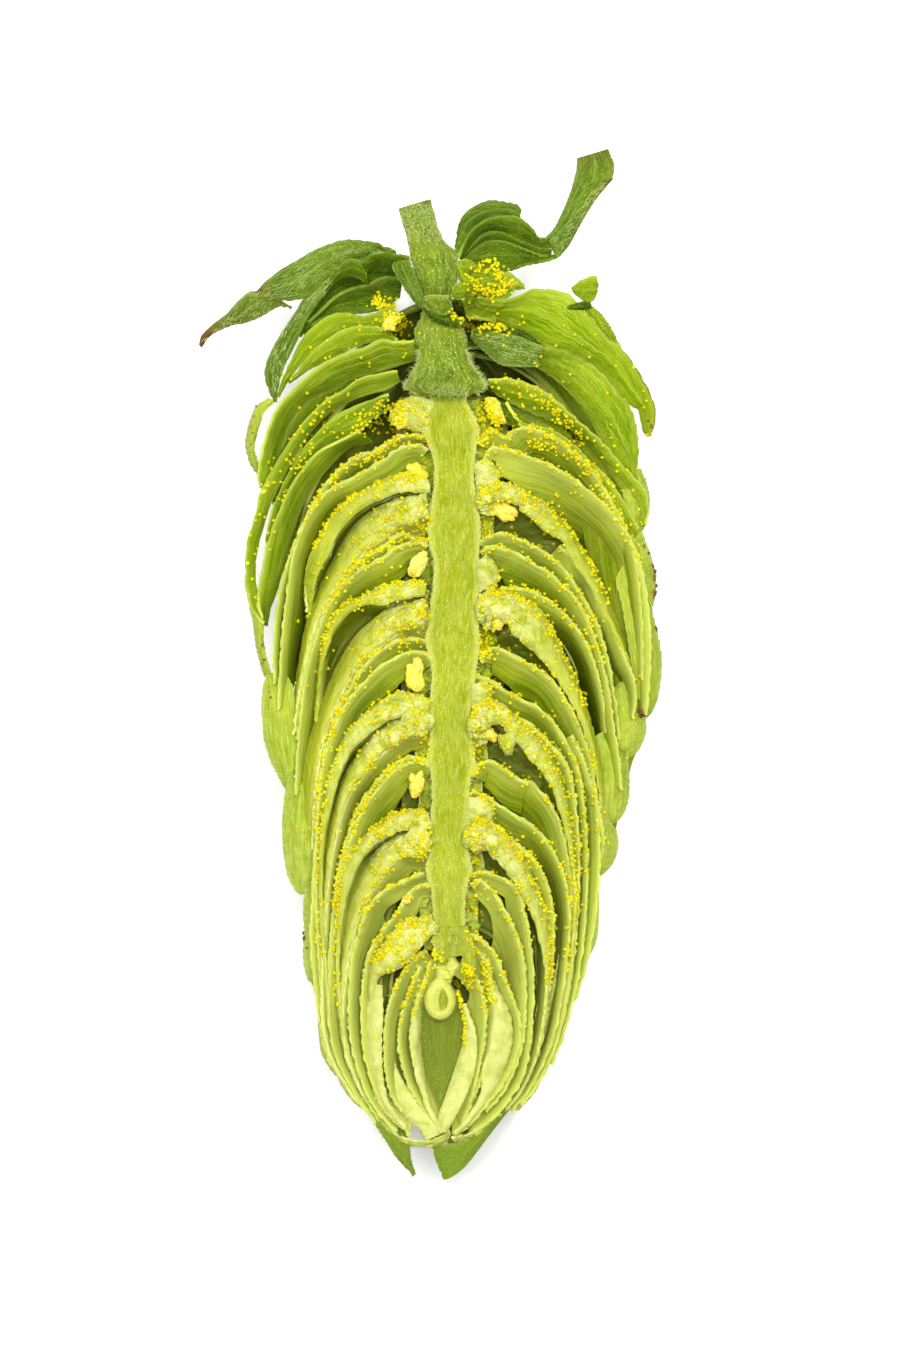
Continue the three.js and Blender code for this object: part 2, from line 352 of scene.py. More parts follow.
def cut_blade(bundle, side, edge_px, width=4.4, root=1.1, cup=0.9, face=FACE, sink=SINK, tone=None, pale=0.95,
              band=1.0, painted_shade_by_depth=PAINTED_SHADE_BY_DEPTH):
    """edge_px is the cut edge on the cut face, from the strig to the tip. side is 1 on the right and -1 on
    the left. root is how far the bract reaches at the strig, cup how tightly it bends there, pale how pale
    its cut edge is, and band how far that paleness and the painted shade behind it reach. The paleness is
    partly the pale cut tissue and partly painted light on the face near the cut."""
    rows = 84
    edge = plan(path_through(edge_px, rows))
    u = np.linspace(0, 1, rows)
    along = np.gradient(edge, axis=0)
    along /= np.linalg.norm(along, axis=1, keepdims=True)
    inward = np.stack([side * along[:, 1], -side * along[:, 0]], 1)
    torn = 0.055 * ripple(u, 19, 5)
    radius = np.abs(edge[:, 0])
    reach = width * ramp(u, OVATE)
    reach = np.where(u < 0.3, root + (reach - root) * (u / 0.3) ** 2, reach)
    bend = cup + (np.maximum(radius, cup) - cup) * np.clip((u - 0.12) / 0.45, 0, 1)
    angle = np.minimum(ACROSS * (reach / bend)[:, None], 1.5)
    away = ACROSS * reach[:, None]
    length = ramp(u, face)[:, None] * PIXEL / LEAN
    tilt = length * (1 - np.exp(-away / length))
    shift = bend[:, None] * (1 - np.cos(angle)) + LEAN * tilt
    depth = bend[:, None] * np.sin(angle) - (1 - math.sqrt(1 - LEAN**2)) * tilt
    wave = 0.12 * np.outer(ripple(u, 2.2, 3), ACROSS**2) * np.minimum(1, reach)[:, None]
    wave = wave + torn[:, None] * np.exp(-away / 0.1)
    flat = edge[:, None, :] + inward[:, None, :] * (shift + wave)[..., None]
    height = CUT - depth - ramp(u, sink)[:, None]
    height[:, 0] -= 0.09 * np.abs(ripple(u, 25, 4))
    middle = np.concatenate([flat, height[..., None]], 2)
    thickness = 0.2 * (1 - 0.5 * ACROSS) * (1 - 0.3 * u)[:, None]
    sheet(bundle, middle, thickness, {
        "along": u[:, None],
        "across": away / 4,
        "tone": rng.random() if tone is None else tone,
        # Pale at the cut edge, partly pale cut tissue and partly painted light on the face near the cut;
        # painted shade further in
        "edge": pale * ramp(away / band, [(0, 1), (0.06, 0.85), (0.16, 0.5), (0.6, 0.22), (1.2, 0)]),
        "shade": ramp(away / band, painted_shade_by_depth),
    })


def loft(bundle, first, second, first_z, second_z, belly=0.25, rows=70, columns=15, thick=0.16, tone=None,
         edge=0.7, wave=0.05, dust=0, wet=0.0, flesh=0.0, fades=0.35, shade=0.0, brown=((0, 0), (1, 0)),
         rim=False):
    """A thin sheet between two lines of the view, at heights above the cut face, with a belly towards the
    viewer. flesh swells it into wet lumpy tissue at its root, over the share of its length in fades. brown
    withers it, with rim only along its first line. dust is how many grains lie on it, and shade darkens it
    as painted shade."""
    u, v = np.linspace(0, 1, rows), np.linspace(0, 1, columns)
    a, b = plan(path_through(first, rows)), plan(path_through(second, rows))
    za = np.interp(u, np.linspace(0, 1, len(first_z)), first_z)
    zb = np.interp(u, np.linspace(0, 1, len(second_z)), second_z)
    za, zb = smoothed(za, 15), smoothed(zb, 15)
    a = a + 0.032 * ripple(u, 15, 5)[:, None]
    b = b + 0.032 * ripple(u, 15, 5)[:, None]
    flat = a[:, None] * (1 - v)[:, None] + b[:, None] * v[:, None]
    arch = 4 * (v * (1 - v))
    z = CUT + za[:, None] * (1 - v) + zb[:, None] * v
    z = z + belly * arch * np.sin(math.pi * np.clip(u, 0.05, 0.95))[:, None]
    z = z + wave * np.outer(ripple(u, 2.5, 3), np.sin(2.5 * math.pi * v))
    swell = flesh * np.exp(-((u / fades) ** 2))[:, None]
    if flesh:
        z = z + swell * arch * 0.5 + 0.30 * swell * lumps(flat[..., 0], flat[..., 1], 1.2)
        folds = np.stack([lumps(flat[..., 1], z, 0.5), lumps(flat[..., 0], z, 0.5)], 2)
        flat = flat + 0.07 * swell[..., None] * folds
    middle = np.concatenate([flat, z[..., None]], 2)
    sheet(bundle, middle, thick + swell * arch**0.5, {
        "along": u[:, None],
        "across": v,
        "tone": rng.random() if tone is None else tone,
        "edge": edge * np.maximum((1 - v) ** 9, 0.5 * v**9),
        "wet": np.maximum(wet, swell / max(flesh, 1e-9)),
        "shade": shade,
        "brown": ramp(u, brown)[:, None] * (np.clip(1 - 9 * v, 0, 1) if rim else 1),
    })
    if dust:
        i, j = rng.integers(0, rows, dust), rng.random(dust)[:, None]
        dusting.append((a[i] * (1 - j) + b[i] * j, 0.1))


# How far the outline stands from the axis at heights of the view, in pixels
ENVELOPE = [(300, 130), (342, 170), (400, 195), (460, 203), (600, 203), (700, 190), (800, 172), (900, 150),
            (1000, 127), (1050, 110), (1100, 85), (1140, 55), (1180, 5)]


def grains_along(path, count, spread=1.8, until=1.0, dense=1.0):
    """Lupulin strewn along a line of the view, up to a share of it. dense over 1 crowds it at the start."""
    points = plan(path_through(path, 200))
    share = until * rng.random(count) ** dense
    dusting.append((points[(share * 199).astype(int)], spread * PIXEL))


left_bracts = Bundle("bracts_left", bract_look)
right_bracts = Bundle("bracts_right", bract_look)
bracteoles = Bundle("bracteoles_left", flesh_look)
folded_scales = Bundle("bracteoles_right", flesh_look)
foot_scales = Bundle("foot_scales", flesh_look)
SLIM = [(0, 4), (0.3, 7), (1, 5)]
BROAD = [(0, 5), (0.12, 15), (0.3, 21), (0.7, 17), (1, 7)]
# Each is a dusty edge, a second one, and the two halves of the folded scale, each outer line first
LEFT_TIERS = [
    ("426,436 410,435 398,436 388,443 376,450 362,454 350,460 340,468 331,477 322,488 314,501 305,517 297,535"
     " 290,553 284,572 279,592 276,612 274,634 273,660 274,684",
     "428,450 422,446 405,446 394,451 385,459 375,465 362,472 350,479 338,484 328,490 318,500 309,513 302,526"
     " 297,540 292,556 289,575 286,598 283,620 281,645 279,680 278,710",
     "424,478 408,474 398,478 385,480 373,486 362,491 350,499 341,506 333,515 326,525 320,537 314,548 309,560"
     " 306,575 305,595 307,612",
     "428,492 400,492 382,499 373,502 365,507 357,512 348,521 340,530 334,540 330,552 322,566 316,582 313,600"
     " 309,613",
     "426,496 400,500 378,508 362,519 350,532 342,545 334,560 326,575 318,592 310,612 305,632 301,655 297,680"
     " 294,705",
     "428,512 415,521 400,525 390,531 378,541 366,549 355,560 345,572 336,584 328,597 320,610 314,625 309,642"
     " 305,660 301,680 297,705 293,735"),
    ("426,540 412,537 404,533 396,536 386,543 377,550 366,556 356,564 347,575 338,588 329,602 321,616 315,630"
     " 310,646 306,664 302,684 299,710 296,740",
     "428,546 424,543 408,543 396,547 385,556 372,563 360,569 350,577 340,588 331,601 324,614 318,629 313,645"
     " 308,662 304,682 301,705 298,735 296,765 295,795",
     "424,584 412,582 400,584 385,586 372,592 360,598 350,601 342,607 334,615 329,625 325,637 322,650 319,665"
     " 317,690 315,720",
     "428,596 400,600 382,605 368,604 358,607 348,613 340,622 333,632 328,645 323,660 320,680 318,700"
     " 316,722",
     "426,602 404,606 385,612 372,622 360,632 350,645 341,660 335,672 328,688 321,705 314,725 308,745 304,765"
     " 301,790 300,815",
     "428,616 416,626 405,626 396,633 386,641 376,648 364,658 353,670 345,684 338,699 331,714 325,730 321,745"
     " 318,765 315,790 313,820 312,850"),
    ("428,641 416,639 402,639 388,645 377,653 366,664 356,676 348,690 341,703 335,717 330,732 325,748 321,768"
     " 318,790 316,820 315,850 315,900 317,950 321,1000 325,1040 333,1066 345,1086",
     "434,661 425,653 415,651 405,653 395,658 385,663 375,671 365,681 356,690 348,700 341,711 336,723 331,737"
     " 326,752 322,768 319,788 317,810 315,840 313,870 312,900 310,930 312,965 316,1000 320,1030 326,1055"
     " 336,1075",
     "429,702 412,694 400,693 388,698 378,705 368,712 358,722 350,730 343,742 337,755 332,768 328,785 325,800"
     " 322,820 320,845 319,880 320,930 324,980 328,1030 336,1062 350,1090",
     "430,712 400,716 378,726 365,738 353,748 345,761 339,775 334,791 330,808 326,826 323,848 322,880 323,930"
     " 327,980 331,1030 339,1062 353,1092",
     "428,716 400,722 382,732 368,744 358,757 350,769 343,783 338,797 333,813 328,832 325,851 323,880 322,910"
     " 321,960 322,1000 325,1040 334,1068 350,1096",
     "430,722 420,734 405,737 397,742 388,748 378,757 367,769 358,780 350,791 344,805 339,820 335,838 331,856"
     " 328,876 326,900 324,930 322,960 321,990 323,1030 331,1060 343,1082 359,1105"),
    ("430,760 412,757 402,759 392,765 384,773 376,782 369,791 362,801 356,812 350,826 346,840 342,855 338,872"
     " 334,895 331,925 328,960 327,1000 330,1030 338,1060 350,1085 364,1106",
     "434,768 422,761 410,762 400,766 391,773 382,783 374,793 366,803 360,815 354,828 349,842 345,857 341,872"
     " 338,889 336,910 333,935 330,965 328,1000 329,1030 335,1056 347,1082 362,1107 378,1126",
     "426,814 412,810 405,812 392,815 382,823 371,832 362,840 354,850 347,860 343,872 340,890 338,910 337,930"
     " 336,980 339,1020 346,1050 357,1082 372,1110",
     "430,828 405,830 388,836 374,845 364,855 357,867 351,882 346,898 342,918 340,935 339,980 342,1020"
     " 349,1050 360,1082 375,1111",
     "428,832 400,838 382,848 370,862 360,877 352,892 347,907 343,926 340,946 338,975 338,1005 341,1035"
     " 349,1062 360,1088 376,1114",
     "432,838 420,856 405,854 398,860 390,868 382,877 375,886 368,896 360,911 354,927 350,945 347,962 344,982"
     " 342,1004 342,1030 346,1055 355,1080 367,1103 381,1124"),
]
for tier in LEFT_TIERS:
    dusty, second, upper_out, upper_in, lower_out, lower_in = map(line, tier)
    cut_blade(left_bracts, -1, dusty, face=[(0, 3), (0.2, 9), (0.5, 9), (1, 6)])
    cut_blade(left_bracts, -1, second, face=BROAD)
    cut_blade(bracteoles, -1, upper_out, face=SLIM, width=3.6, sink=[(0, 0.4), (0.4, 0.3), (1, 0.7)],
              tone=0.2)
    loft(bracteoles, upper_out, upper_in, [-0.5, -0.4, -0.3, -0.5, -1.0], [0.05, 0.05, 0, 0, -0.7], flesh=0.5,
         fades=0.3, edge=0.2, tone=0.6, rows=90)
    loft(bracteoles, lower_out, lower_in, [-0.3, -1.2, -1.3, -1.2, -1.1, -1.3],
         [0.1, 0.05, 0.05, 0, -0.2, -1.0], flesh=0.75, fades=0.24, belly=0.35, tone=1.0, rows=110, columns=19,
         edge=0.5)
    cut_blade(bracteoles, -1, lower_in, face=SLIM, width=3.8, tone=0.9)
    # The hollow between the two halves of the folded scale, darkened as painted shade
    loft(bracteoles, upper_in + (0, 2), lower_out, [-0.5, -0.6, -0.6, -0.8, -1.3],
         [-0.7, -1.3, -1.4, -1.3, -1.5], belly=-0.9, tone=0.0, edge=0.0, rows=50, columns=9, shade=0.7)
    grains_along(dusty, 60, 1.4, 0.5)
    grains_along(dusty + (0, 4), 60, 2.6, 0.45)
    grains_along(second, 26, 2.5, 0.5)
    grains_along(upper_out, 120, 1.7, 0.7, 1.2)
    grains_along(upper_out[:7] + (0, 7), 40, 5)
    grains_along(lower_in[1:9], 42, 2.0)
    grains_along(lower_in[1:7] - (3, 9), 35, 6)

# Each is its cut edges with how much shows beside each, and the two lines of its folded scale
RIGHT_TIERS = [
    ([("478,444 484,434 492,430 500,434 507,437 513,430 522,427 540,431 556,437 570,448 584,460 597,476"
       " 607,492 616,508 624,524 631,542 637,565 641,600 643,640 643,680",
       [(0, 9), (0.15, 16), (0.4, 22), (0.7, 14), (1, 6)]),
      ("485,458 488,450 495,447 505,449 517,452 530,457 545,462 560,470 572,477 585,487 600,500 614,514"
       " 626,531 636,550 643,572 648,600 651,640 650,680 647,715",
       [(0, 7), (0.1, 18), (0.3, 25), (0.6, 33), (0.8, 28), (1, 9)])],
     "482,490 492,487 500,486 512,487 522,492 534,499 547,507 560,519 571,532 580,546 590,562 600,582 608,602"
     " 616,622 624,645 631,670 635,700 636,725",
     "488,500 500,499 514,502 525,511 537,523 548,533 562,541 568,552 576,566 588,582 596,597 603,614 612,630"
     " 622,647 630,668 634,690 634,712"),
    ([("478,542 487,537 500,533 510,535 522,540 535,546 548,554 560,564 570,576 580,591 589,606 597,622"
       " 604,642 610,665 614,690 618,715 620,740", [(0, 6), (0.2, 14), (0.5, 12), (1, 6)]),
      ("480,552 490,546 502,548 515,552 528,560 540,567 550,573 560,582 570,591 578,601 586,615 593,631"
       " 600,651 606,674 611,700 615,730 620,760 622,790", BROAD),
      ("500,588 520,588 535,592 548,600 560,609 570,619 580,632 588,646 595,662 601,685 605,710 607,733",
       [(0, 8), (0.3, 14), (1, 5)])],
     "484,598 494,592 505,594 520,598 535,607 546,619 554,634 561,649 569,665 576,680 583,700 590,722 596,745"
     " 601,770 604,800 606,822",
     "492,618 500,620 508,624 515,634 524,644 534,652 545,663 555,676 563,688 571,701 579,717 586,735 592,756"
     " 597,778 600,800 601,825 600,848"),
    ([("481,662 484,651 493,647 505,651 520,659 535,667 548,676 560,690 570,706 580,726 588,748 594,770"
       " 597,795 599,820 600,848 600,872 598,900 594,930 588,960 580,988 569,1012", BROAD),
      ("472,674 490,680 505,690 520,699 540,709 552,720 562,735 572,752 580,775 584,800 587,830 588,860"
       " 588,890 586,920 582,960 574,1000 564,1035 552,1065", SLIM),
      ("490,702 503,711 520,718 535,728 547,740 558,752 566,763 572,779 575,797 578,820 580,850 580,880"
       " 578,920 574,955 568,990 560,1028 550,1060 536,1088", [(0, 8), (0.3, 9), (1, 5)])],
     "474,712 484,703 497,706 510,715 525,727 540,743 550,757 557,770 563,785 568,805 572,830 575,860 576,885"
     " 576,920 574,960 568,1000 558,1040 546,1070 532,1094",
     "482,732 494,722 506,724 513,733 523,746 533,761 546,776 554,791 560,811 566,832 571,860 574,885 575,910"
     " 573,940 570,975 564,1010 556,1042 545,1070 530,1096"),
    ([("472,776 479,764 490,761 502,767 514,776 523,781 530,781 540,791 550,803 558,817 564,836 569,858"
       " 573,885 576,910 576,940 574,965 570,990 562,1025 553,1055 540,1082 522,1106", BROAD),
      ("472,790 485,796 500,805 515,815 530,824 543,836 553,850 561,866 567,885 570,905 571,925 569,950"
       " 566,975 562,1002 555,1035 545,1062 530,1090 512,1112", SLIM),
      ("490,822 500,829 510,838 520,846 530,855 539,866 546,880 551,895 554,912 555,930 554,948 552,968"
       " 550,990 547,1015 542,1042 534,1067 520,1094 500,1116", [(0, 8), (0.3, 10), (1, 5)])],
     "466,834 476,823 490,824 503,834 515,846 524,862 532,878 539,894 545,910 549,930 550,950 550,975"
     " 548,1002 543,1032 536,1060 523,1088 505,1112",
     "478,842 486,842 495,856 503,866 512,878 520,890 527,904 535,921 540,940 544,960 546,980 545,1002"
     " 542,1027 538,1050 531,1072 518,1096 500,1116 482,1132"),
]
# A deep wall below the right tiers, darkened as painted shade
loft(right_bracts, "545,430 566,470 580,510 589,560 595,600 599,650 601,700 598,750 590,800 582,850",
     "602,446 626,482 640,530 647,580 651,620 654,668 648,708 638,744 624,790 612,850",
     [-1.6, -1.9, -1.9, -1.7], [-1.6, -2.0, -2.0, -1.8], belly=0.5, tone=0.5, edge=0.2, rows=110, columns=25,
     shade=0.45)
LAST_FLOOR = "470,874 483,872 500,877 517,888 527,905 533,925 536,950"
below = [tier[0][0][0] for tier in RIGHT_TIERS[1:]] + [LAST_FLOOR]
for k, (blades, *folded) in enumerate(RIGHT_TIERS):
    for n, (pairs, face) in enumerate(blades):
        # One face gets a wider pale band from its cut edge, partly painted light
        cut_blade(right_bracts, 1, pairs, face=face, root=1.6 if n < 2 else 1.0,
                  band=2.4 if (k, n) == (0, 1) else 1.0)
        grains_along(pairs, 60, 2.0, 0.6, 1.3)
    folded_out, folded_in = map(line, folded)
    loft(folded_scales, folded_out, folded_in, [-0.3, -0.5, -0.6, -0.6, -1.0], [0.1, 0.1, 0.05, 0, -0.8],
         flesh=0.7, fades=0.26, belly=0.3, tone=0.9, rows=110, columns=19, edge=0.5)
    cut_blade(folded_scales, 1, folded_out, face=SLIM, width=3.6, sink=[(0, 0.3), (0.4, 0.5), (1, 1.0)])
    # The floor of the hollow under the fold, down to the next tier, darkened as painted shade
    floor_root = folded_in[2:-4]
    loft(folded_scales, floor_root, line(below[k])[1:len(floor_root) - 1], [-1.3, -1.6, -1.6, -1.2],
         [-2.2, -2.3, -2.0, -1.4], belly=-0.2, tone=0.0, edge=0.0, rows=60, shade=0.64)
    grains_along(folded_out, 130, 2.0, 0.6, 1.2)
    grains_along(folded_out[:8] + (1, 8), 50, 5)
    grains_along(folded_in[:8], 18, 2)

# Two more cut edges beside the outline on the right
for pairs in ("560,545 575,559 591,578 601,604 614,630 626,658 634,678 636,706 633,719",
              "572,735 582,755 591,780 597,797 601,815 604,841 601,862"):
    cut_blade(right_bracts, 1, pairs, face=[(0, 5), (0.3, 13), (0.7, 15), (1, 5)], width=3.0, root=1.2,
              band=1.6, tone=0.6)
    grains_along(pairs, 12, 3)

# Wet tissue where the folded scales leave the strig, with the hook round each seed on the right
HOOKS = [
    ("481,505 480,496 486,490 495,487", "489,511 487,503 491,499 498,498"),
    ("482,612 480,603 485,596 494,592", "492,629 486,620 487,608 494,602"),
    ("472,731 472,718 478,708 488,702", "484,745 479,734 479,722 486,713"),
    ("464,842 467,832 475,824 486,821", "481,851 477,843 478,836 486,832"),
]
for outer, inner in HOOKS:
    loft(bracteoles, outer, inner, [0.1, 0.15, 0.1], [0, 0.1, 0.1], flesh=0.45, fades=2.0, rows=40,
         columns=13, thick=0.3, tone=1.0)
    grains_along(outer, 14, 3)
TEETH = [
    ("500,735 501,741 504,747 508,752", "514,735 513,741 511,747 509,752"),
    ("424,704 418,716 414,728 416,735", "402,716 404,724 408,730 414,735"),
    ("424,500 424,508 420,516 414,521", "402,506 404,512 408,517 413,521"),
    ("426,600 424,610 419,620 414,627", "404,612 406,618 409,623 413,627"),
    ("428,822 424,835 421,846 419,856", "404,836 408,843 412,850 417,856"),
]
for first, second in TEETH:
    loft(bracteoles, first, second, [0.1, 0.1, 0], [0.1, 0.1, 0], flesh=0.35, fades=1.5, rows=30, columns=11,
         thick=0.25, tone=1.0)
    grains_along(first, 10, 4)
FLAPS = [
    ("474,464 476,474 477,484 478,496", "485,457 492,464 498,474 494,492"),
    ("478,560 478,570 478,580 480,592", "486,556 494,564 498,574 494,588"),
    ("473,684 472,692 472,700 472,708", "485,682 491,689 490,698 484,706"),
    ("469,796 468,806 467,816 466,828", "482,799 491,806 493,814 486,825"),
]
for first, second in FLAPS:
    loft(bracteoles, first, second, [0.1, 0.05, 0.0], [-0.05, -0.15, -0.1], flesh=0.16, fades=2.0, rows=36,
         columns=13, thick=0.2, tone=0.3, edge=0.6)
    grains_along(second, 16, 3)
# Lupulin packed into the corners beside the strig
CORNERS = [(426, 523, 10), (424, 612, 8), (426, 740, 14), (424, 845, 10), (484, 522, 9), (484, 634, 9),
           (476, 745, 10), (476, 854, 10), (482, 437, 5), (424, 425, 8), (478, 420, 10), (486, 650, 4),
           (436, 955, 6), (474, 905, 12)]
for x, y, tall in CORNERS:
    dusting.append((plan((x, y)) + rng.normal(0, 1, (34, 2)) * (4.5 * PIXEL, tall * PIXEL), 0.02))

# The top, traced flap by flap: two lines of the view for each, with their heights over the cut face
upper = Bundle("shoulder_bracts", shoulder_look)
green = Bundle("leaf_bracts", leaf_look, "leaf")
hoods = Bundle("leaf_folds", hood_look, "leaf")
loft(upper,
     "414,341 399,342 378,340 368,346 348,352 329,360 316,369 304,379 291,392 278,407 270,424 262,452 258,474"
     " 260,488",
     "415,359 399,364 380,370 362,375 348,380 329,389 304,403 291,419 282,440 275,462 268,478 262,489",
     [0, 0.1, 0.1, 0, -0.4], [-1.0, -1.2, -1.4, -1.4, -0.6], dust=14, tone=0.5, edge=0.9)
# A deep layer below, darkened as painted shade
loft(upper, "385,366 360,372 330,386 304,402 290,420 279,445 272,468 266,486",
     "392,378 372,392 345,405 322,420 306,440 294,462 284,488 274,505", [-1.2, -1.3, -1.3, -1.2],
     [-2.4, -2.6, -2.6, -2.0], tone=0.0, shade=0.3)
loft(upper,
     "398,371 377,374 358,379 341,392 325,401 308,417 294,436 282,455 271,474 261,493 254,519 247,542 245,566"
     " 247,596 253,613 264,623",
     "400,380 388,388 366,394 350,400 334,408 316,424 302,442 290,462 280,482 271,500 263,524 257,546 254,567"
     " 256,592 260,606 266,622", [0.3, 0.2, 0, 0, -0.3, -0.8], [-0.3, -0.5, -0.5, -0.5, -0.9, -1.3], tone=0.9,
     dust=30, edge=1.0)
loft(upper, "389,394 376,398 360,404 338,414 322,428 306,446 293,466 281,488 272,510 266,534",
     "388,398 376,412 360,430 339,440 318,450 306,462 291,481 280,505 272,530 268,552",
     [-0.3, -0.4, -0.5, -0.6], [-0.6, -0.9, -1.0, -1.0], tone=0.1, dust=46)
loft(upper, "360,430 339,441 318,452 304,466 290,486 279,510 269,536 262,570 258,600 262,622",
     "372,441 350,446 332,462 318,478 304,500 292,530 284,560 275,592 268,612 266,626",
     [-0.5, -0.6, -0.7, -0.8], [-1.6, -1.8, -2.0, -1.8], tone=0.8, edge=0.9)
# The left leaf: its hairy back, its turned tip, and the fold that hangs down
loft(green, "392,250 386,249 375,244 357,241 340,242 326,247 310,254 296,262 282,270 268,281 256,292",
     "396,254 386,252 371,255 352,262 338,269 325,278 314,288 304,297 292,300 276,299 257,293",
     [0.4, 0.8, 0.9, 0.6, 0.1], [0.2, 0.5, 0.6, 0.4, 0.0], belly=0.3, tone=0.2, edge=0.3, thick=0.2,
     brown=((0, 0), (0.86, 0), (0.95, 0.7), (1, 1)))
loft(green, "262,292 248,293 242,298 234,306 228,314 220,320 210,328 202,337 200,345",
     "292,308 280,306 268,312 256,318 244,322 232,324 222,328 212,333 201,346", [0.15, 0.1, -0.1, -0.4],
     [0.1, 0, -0.2, -0.4], belly=0.25, tone=0.6, edge=0.5,
     brown=((0, 0.3), (0.2, 0.1), (0.6, 0.2), (0.8, 0.7), (1, 1)))
loft(green, "338,268 326,277 314,287 306,296 298,310 290,322 282,334 274,347 268,360 265,374 268,386 275,401",
     "344,274 334,281 324,290 315,302 309,314 303,326 298,338 292,350 285,364 280,378 278,388 276,401",
     [0.3, 0.1, -0.1, -0.4, -1.0], [0.5, 0.4, 0.2, -0.2, -1.0], tone=0.7, edge=0.5, belly=0.2)
loft(hoods, "324,284 332,275 341,266 350,260 357,261 362,268 366,278",
     "330,286 338,279 346,275 354,276 361,279 366,282 369,285", [0.5, 0.7, 0.8, 0.6], [0.3, 0.5, 0.5, 0.3],
     tone=1.0, edge=1.0, rows=50)
loft(hoods, "410,257 398,255 386,253 372,255 362,260 354,266 350,272",
     "404,266 394,262 382,262 372,266 366,272 362,277 360,280", [0.6, 0.7, 0.8, 0.6], [0.1, 0.1, 0.2, 0.2],
     tone=0.7, edge=0.6, rows=50)
# A lower layer of the leaf fold, darkened a little as painted shade
loft(hoods, "404,264 388,262 370,265 356,274 340,277 326,290 314,306 303,324 298,336",
     "402,284 392,290 380,291 366,290 350,290 336,296 322,308 310,322 300,337",
     [-0.4, -0.5, -0.4, -0.5, -0.6], [-1.0, -1.1, -0.9, -0.7, -0.7], belly=-0.4, tone=0.0, shade=0.15,
     edge=0.3)
loft(hoods, "402,278 392,276 380,278 368,284 352,288 336,296 322,309 308,322",
     "400,297 390,304 378,309 362,312 348,313 332,315 316,322 304,334", [-0.7, -0.8, -0.7, -0.6],
     [-1.1, -1.2, -0.9, -0.6], belly=-0.5, tone=0.2, edge=0.7)
loft(upper, "396,302 380,310 362,316 345,313 328,316 312,328 300,343 292,360 284,376 277,396",
     "394,330 376,326 358,327 344,329 331,336 318,347 306,358 296,368 286,382 278,397",
     [-1.0, -0.8, -0.4, -0.2, -0.5, -1.0], [-1.3, -0.9, -0.6, -0.4, -0.7, -1.0], belly=0.15, tone=1.0,
     dust=10, edge=0.6)
loft(upper, "386,328 372,326 358,326 344,330 330,338 318,347 308,358 298,371 290,379",
     "398,339 380,340 365,342 350,348 335,356 320,363 308,369 298,376 289,382", [-0.4, -0.3, -0.3, -0.5],
     [-0.8, -0.7, -0.6, -0.6], tone=1.0, edge=0.9, dust=8)
loft(green, "397,260 393,267 397,276 402,283 407,291 413,299 419,306 426,311",
     "409,257 412,268 417,281 421,293 424,303 428,309 434,313 440,316", [0.3, 0.6, 1.0, 1.1, 1.1],
     [0.4, 0.9, 1.2, 1.3, 1.2], tone=0.5, edge=0.5, rows=50)
# The large bract at the right, the hood at its root and the ones below it
loft(upper,
     "478,297 494,298 514,298 535,289 553,290 569,295 582,309 596,325 608,340 618,346 630,360 639,374 648,390"
     " 655,411 654,427 651,436",
     "467,302 471,314 496,320 519,332 544,347 567,352 588,361 603,373 615,387 629,402 639,410 644,430"
     " 649,436", [0, 0.2, 0.3, 0.2, -0.2, -0.6], [-1.2, -1.3, -0.4, -0.3, -0.5, -0.8], belly=0.5, tone=1.0,
     edge=0.5, dust=20, columns=25, brown=((0, 0), (0.6, 0), (0.75, 1), (1, 1)), rim=True)
loft(upper, "544,347 567,351 588,360 603,372 615,388 628,403 635,421 638,447 637,478",
     "538,366 558,380 576,398 592,420 601,436 612,452 624,465 630,472 637,480", [-0.2, -0.4, -0.7, -1.0],
     [-1.2, -1.4, -1.4, -1.1], belly=0.4, tone=0.4, edge=0.5, dust=6)
loft(green, "471,333 496,329 522,335 543,347", "471,337 487,353 501,364 519,366 539,366",
     [0.2, 0.4, 0.3, 0.1], [0, 0.1, 0, -0.2], tone=0.9, edge=0.9, dust=8, rows=50)
loft(hoods, "472,330 490,326 508,328 526,333 541,343", "476,336 494,333 510,335 526,339 540,346",
     [0.3, 0.4, 0.4, 0.2], [0.2, 0.3, 0.2, 0], tone=0.0, rows=40)
loft(upper, "488,380 510,379 531,385 549,394 567,410 585,426 603,442 621,463 635,478 645,490 649,506 646,524",
     "492,390 519,406 545,417 567,426 585,440 598,455 612,474 624,490 634,504 640,516 644,526",
     [0, 0.1, 0, -0.2, -0.6, -1.0], [-0.8, -1.0, -1.1, -1.1, -1.2], tone=0.7, edge=1.0, dust=44)
loft(upper, "506,402 519,420 540,427 560,435 576,447 590,462 606,476 617,490 630,510 639,528",
     "509,408 519,424 540,434 558,444 572,458 585,474 598,492 609,510 622,530 633,548",
     [-0.5, -0.2, -0.2, -0.4, -0.8], [-0.8, -0.6, -0.6, -0.9, -1.4], tone=0.8, edge=1.0, dust=36)
# Wet tissue in the highest corner on the left, and the shaded floor of the one on the right
loft(bracteoles, "430,399 420,396 408,398 398,405 391,413", "429,433 416,431 404,427 395,423 388,420",
     [-0.25, -0.15, -0.3], [-0.3, -0.3, -0.5], flesh=0.35, fades=0.9, tone=0.8, rows=50)
loft(upper, "484,396 502,399 522,404 546,415 572,434", "484,424 502,423 522,428 546,438 572,455",
     [-1.5, -1.6], [-1.6, -1.7], belly=0.1, tone=0.2, edge=0.0, shade=0.3, rows=50)
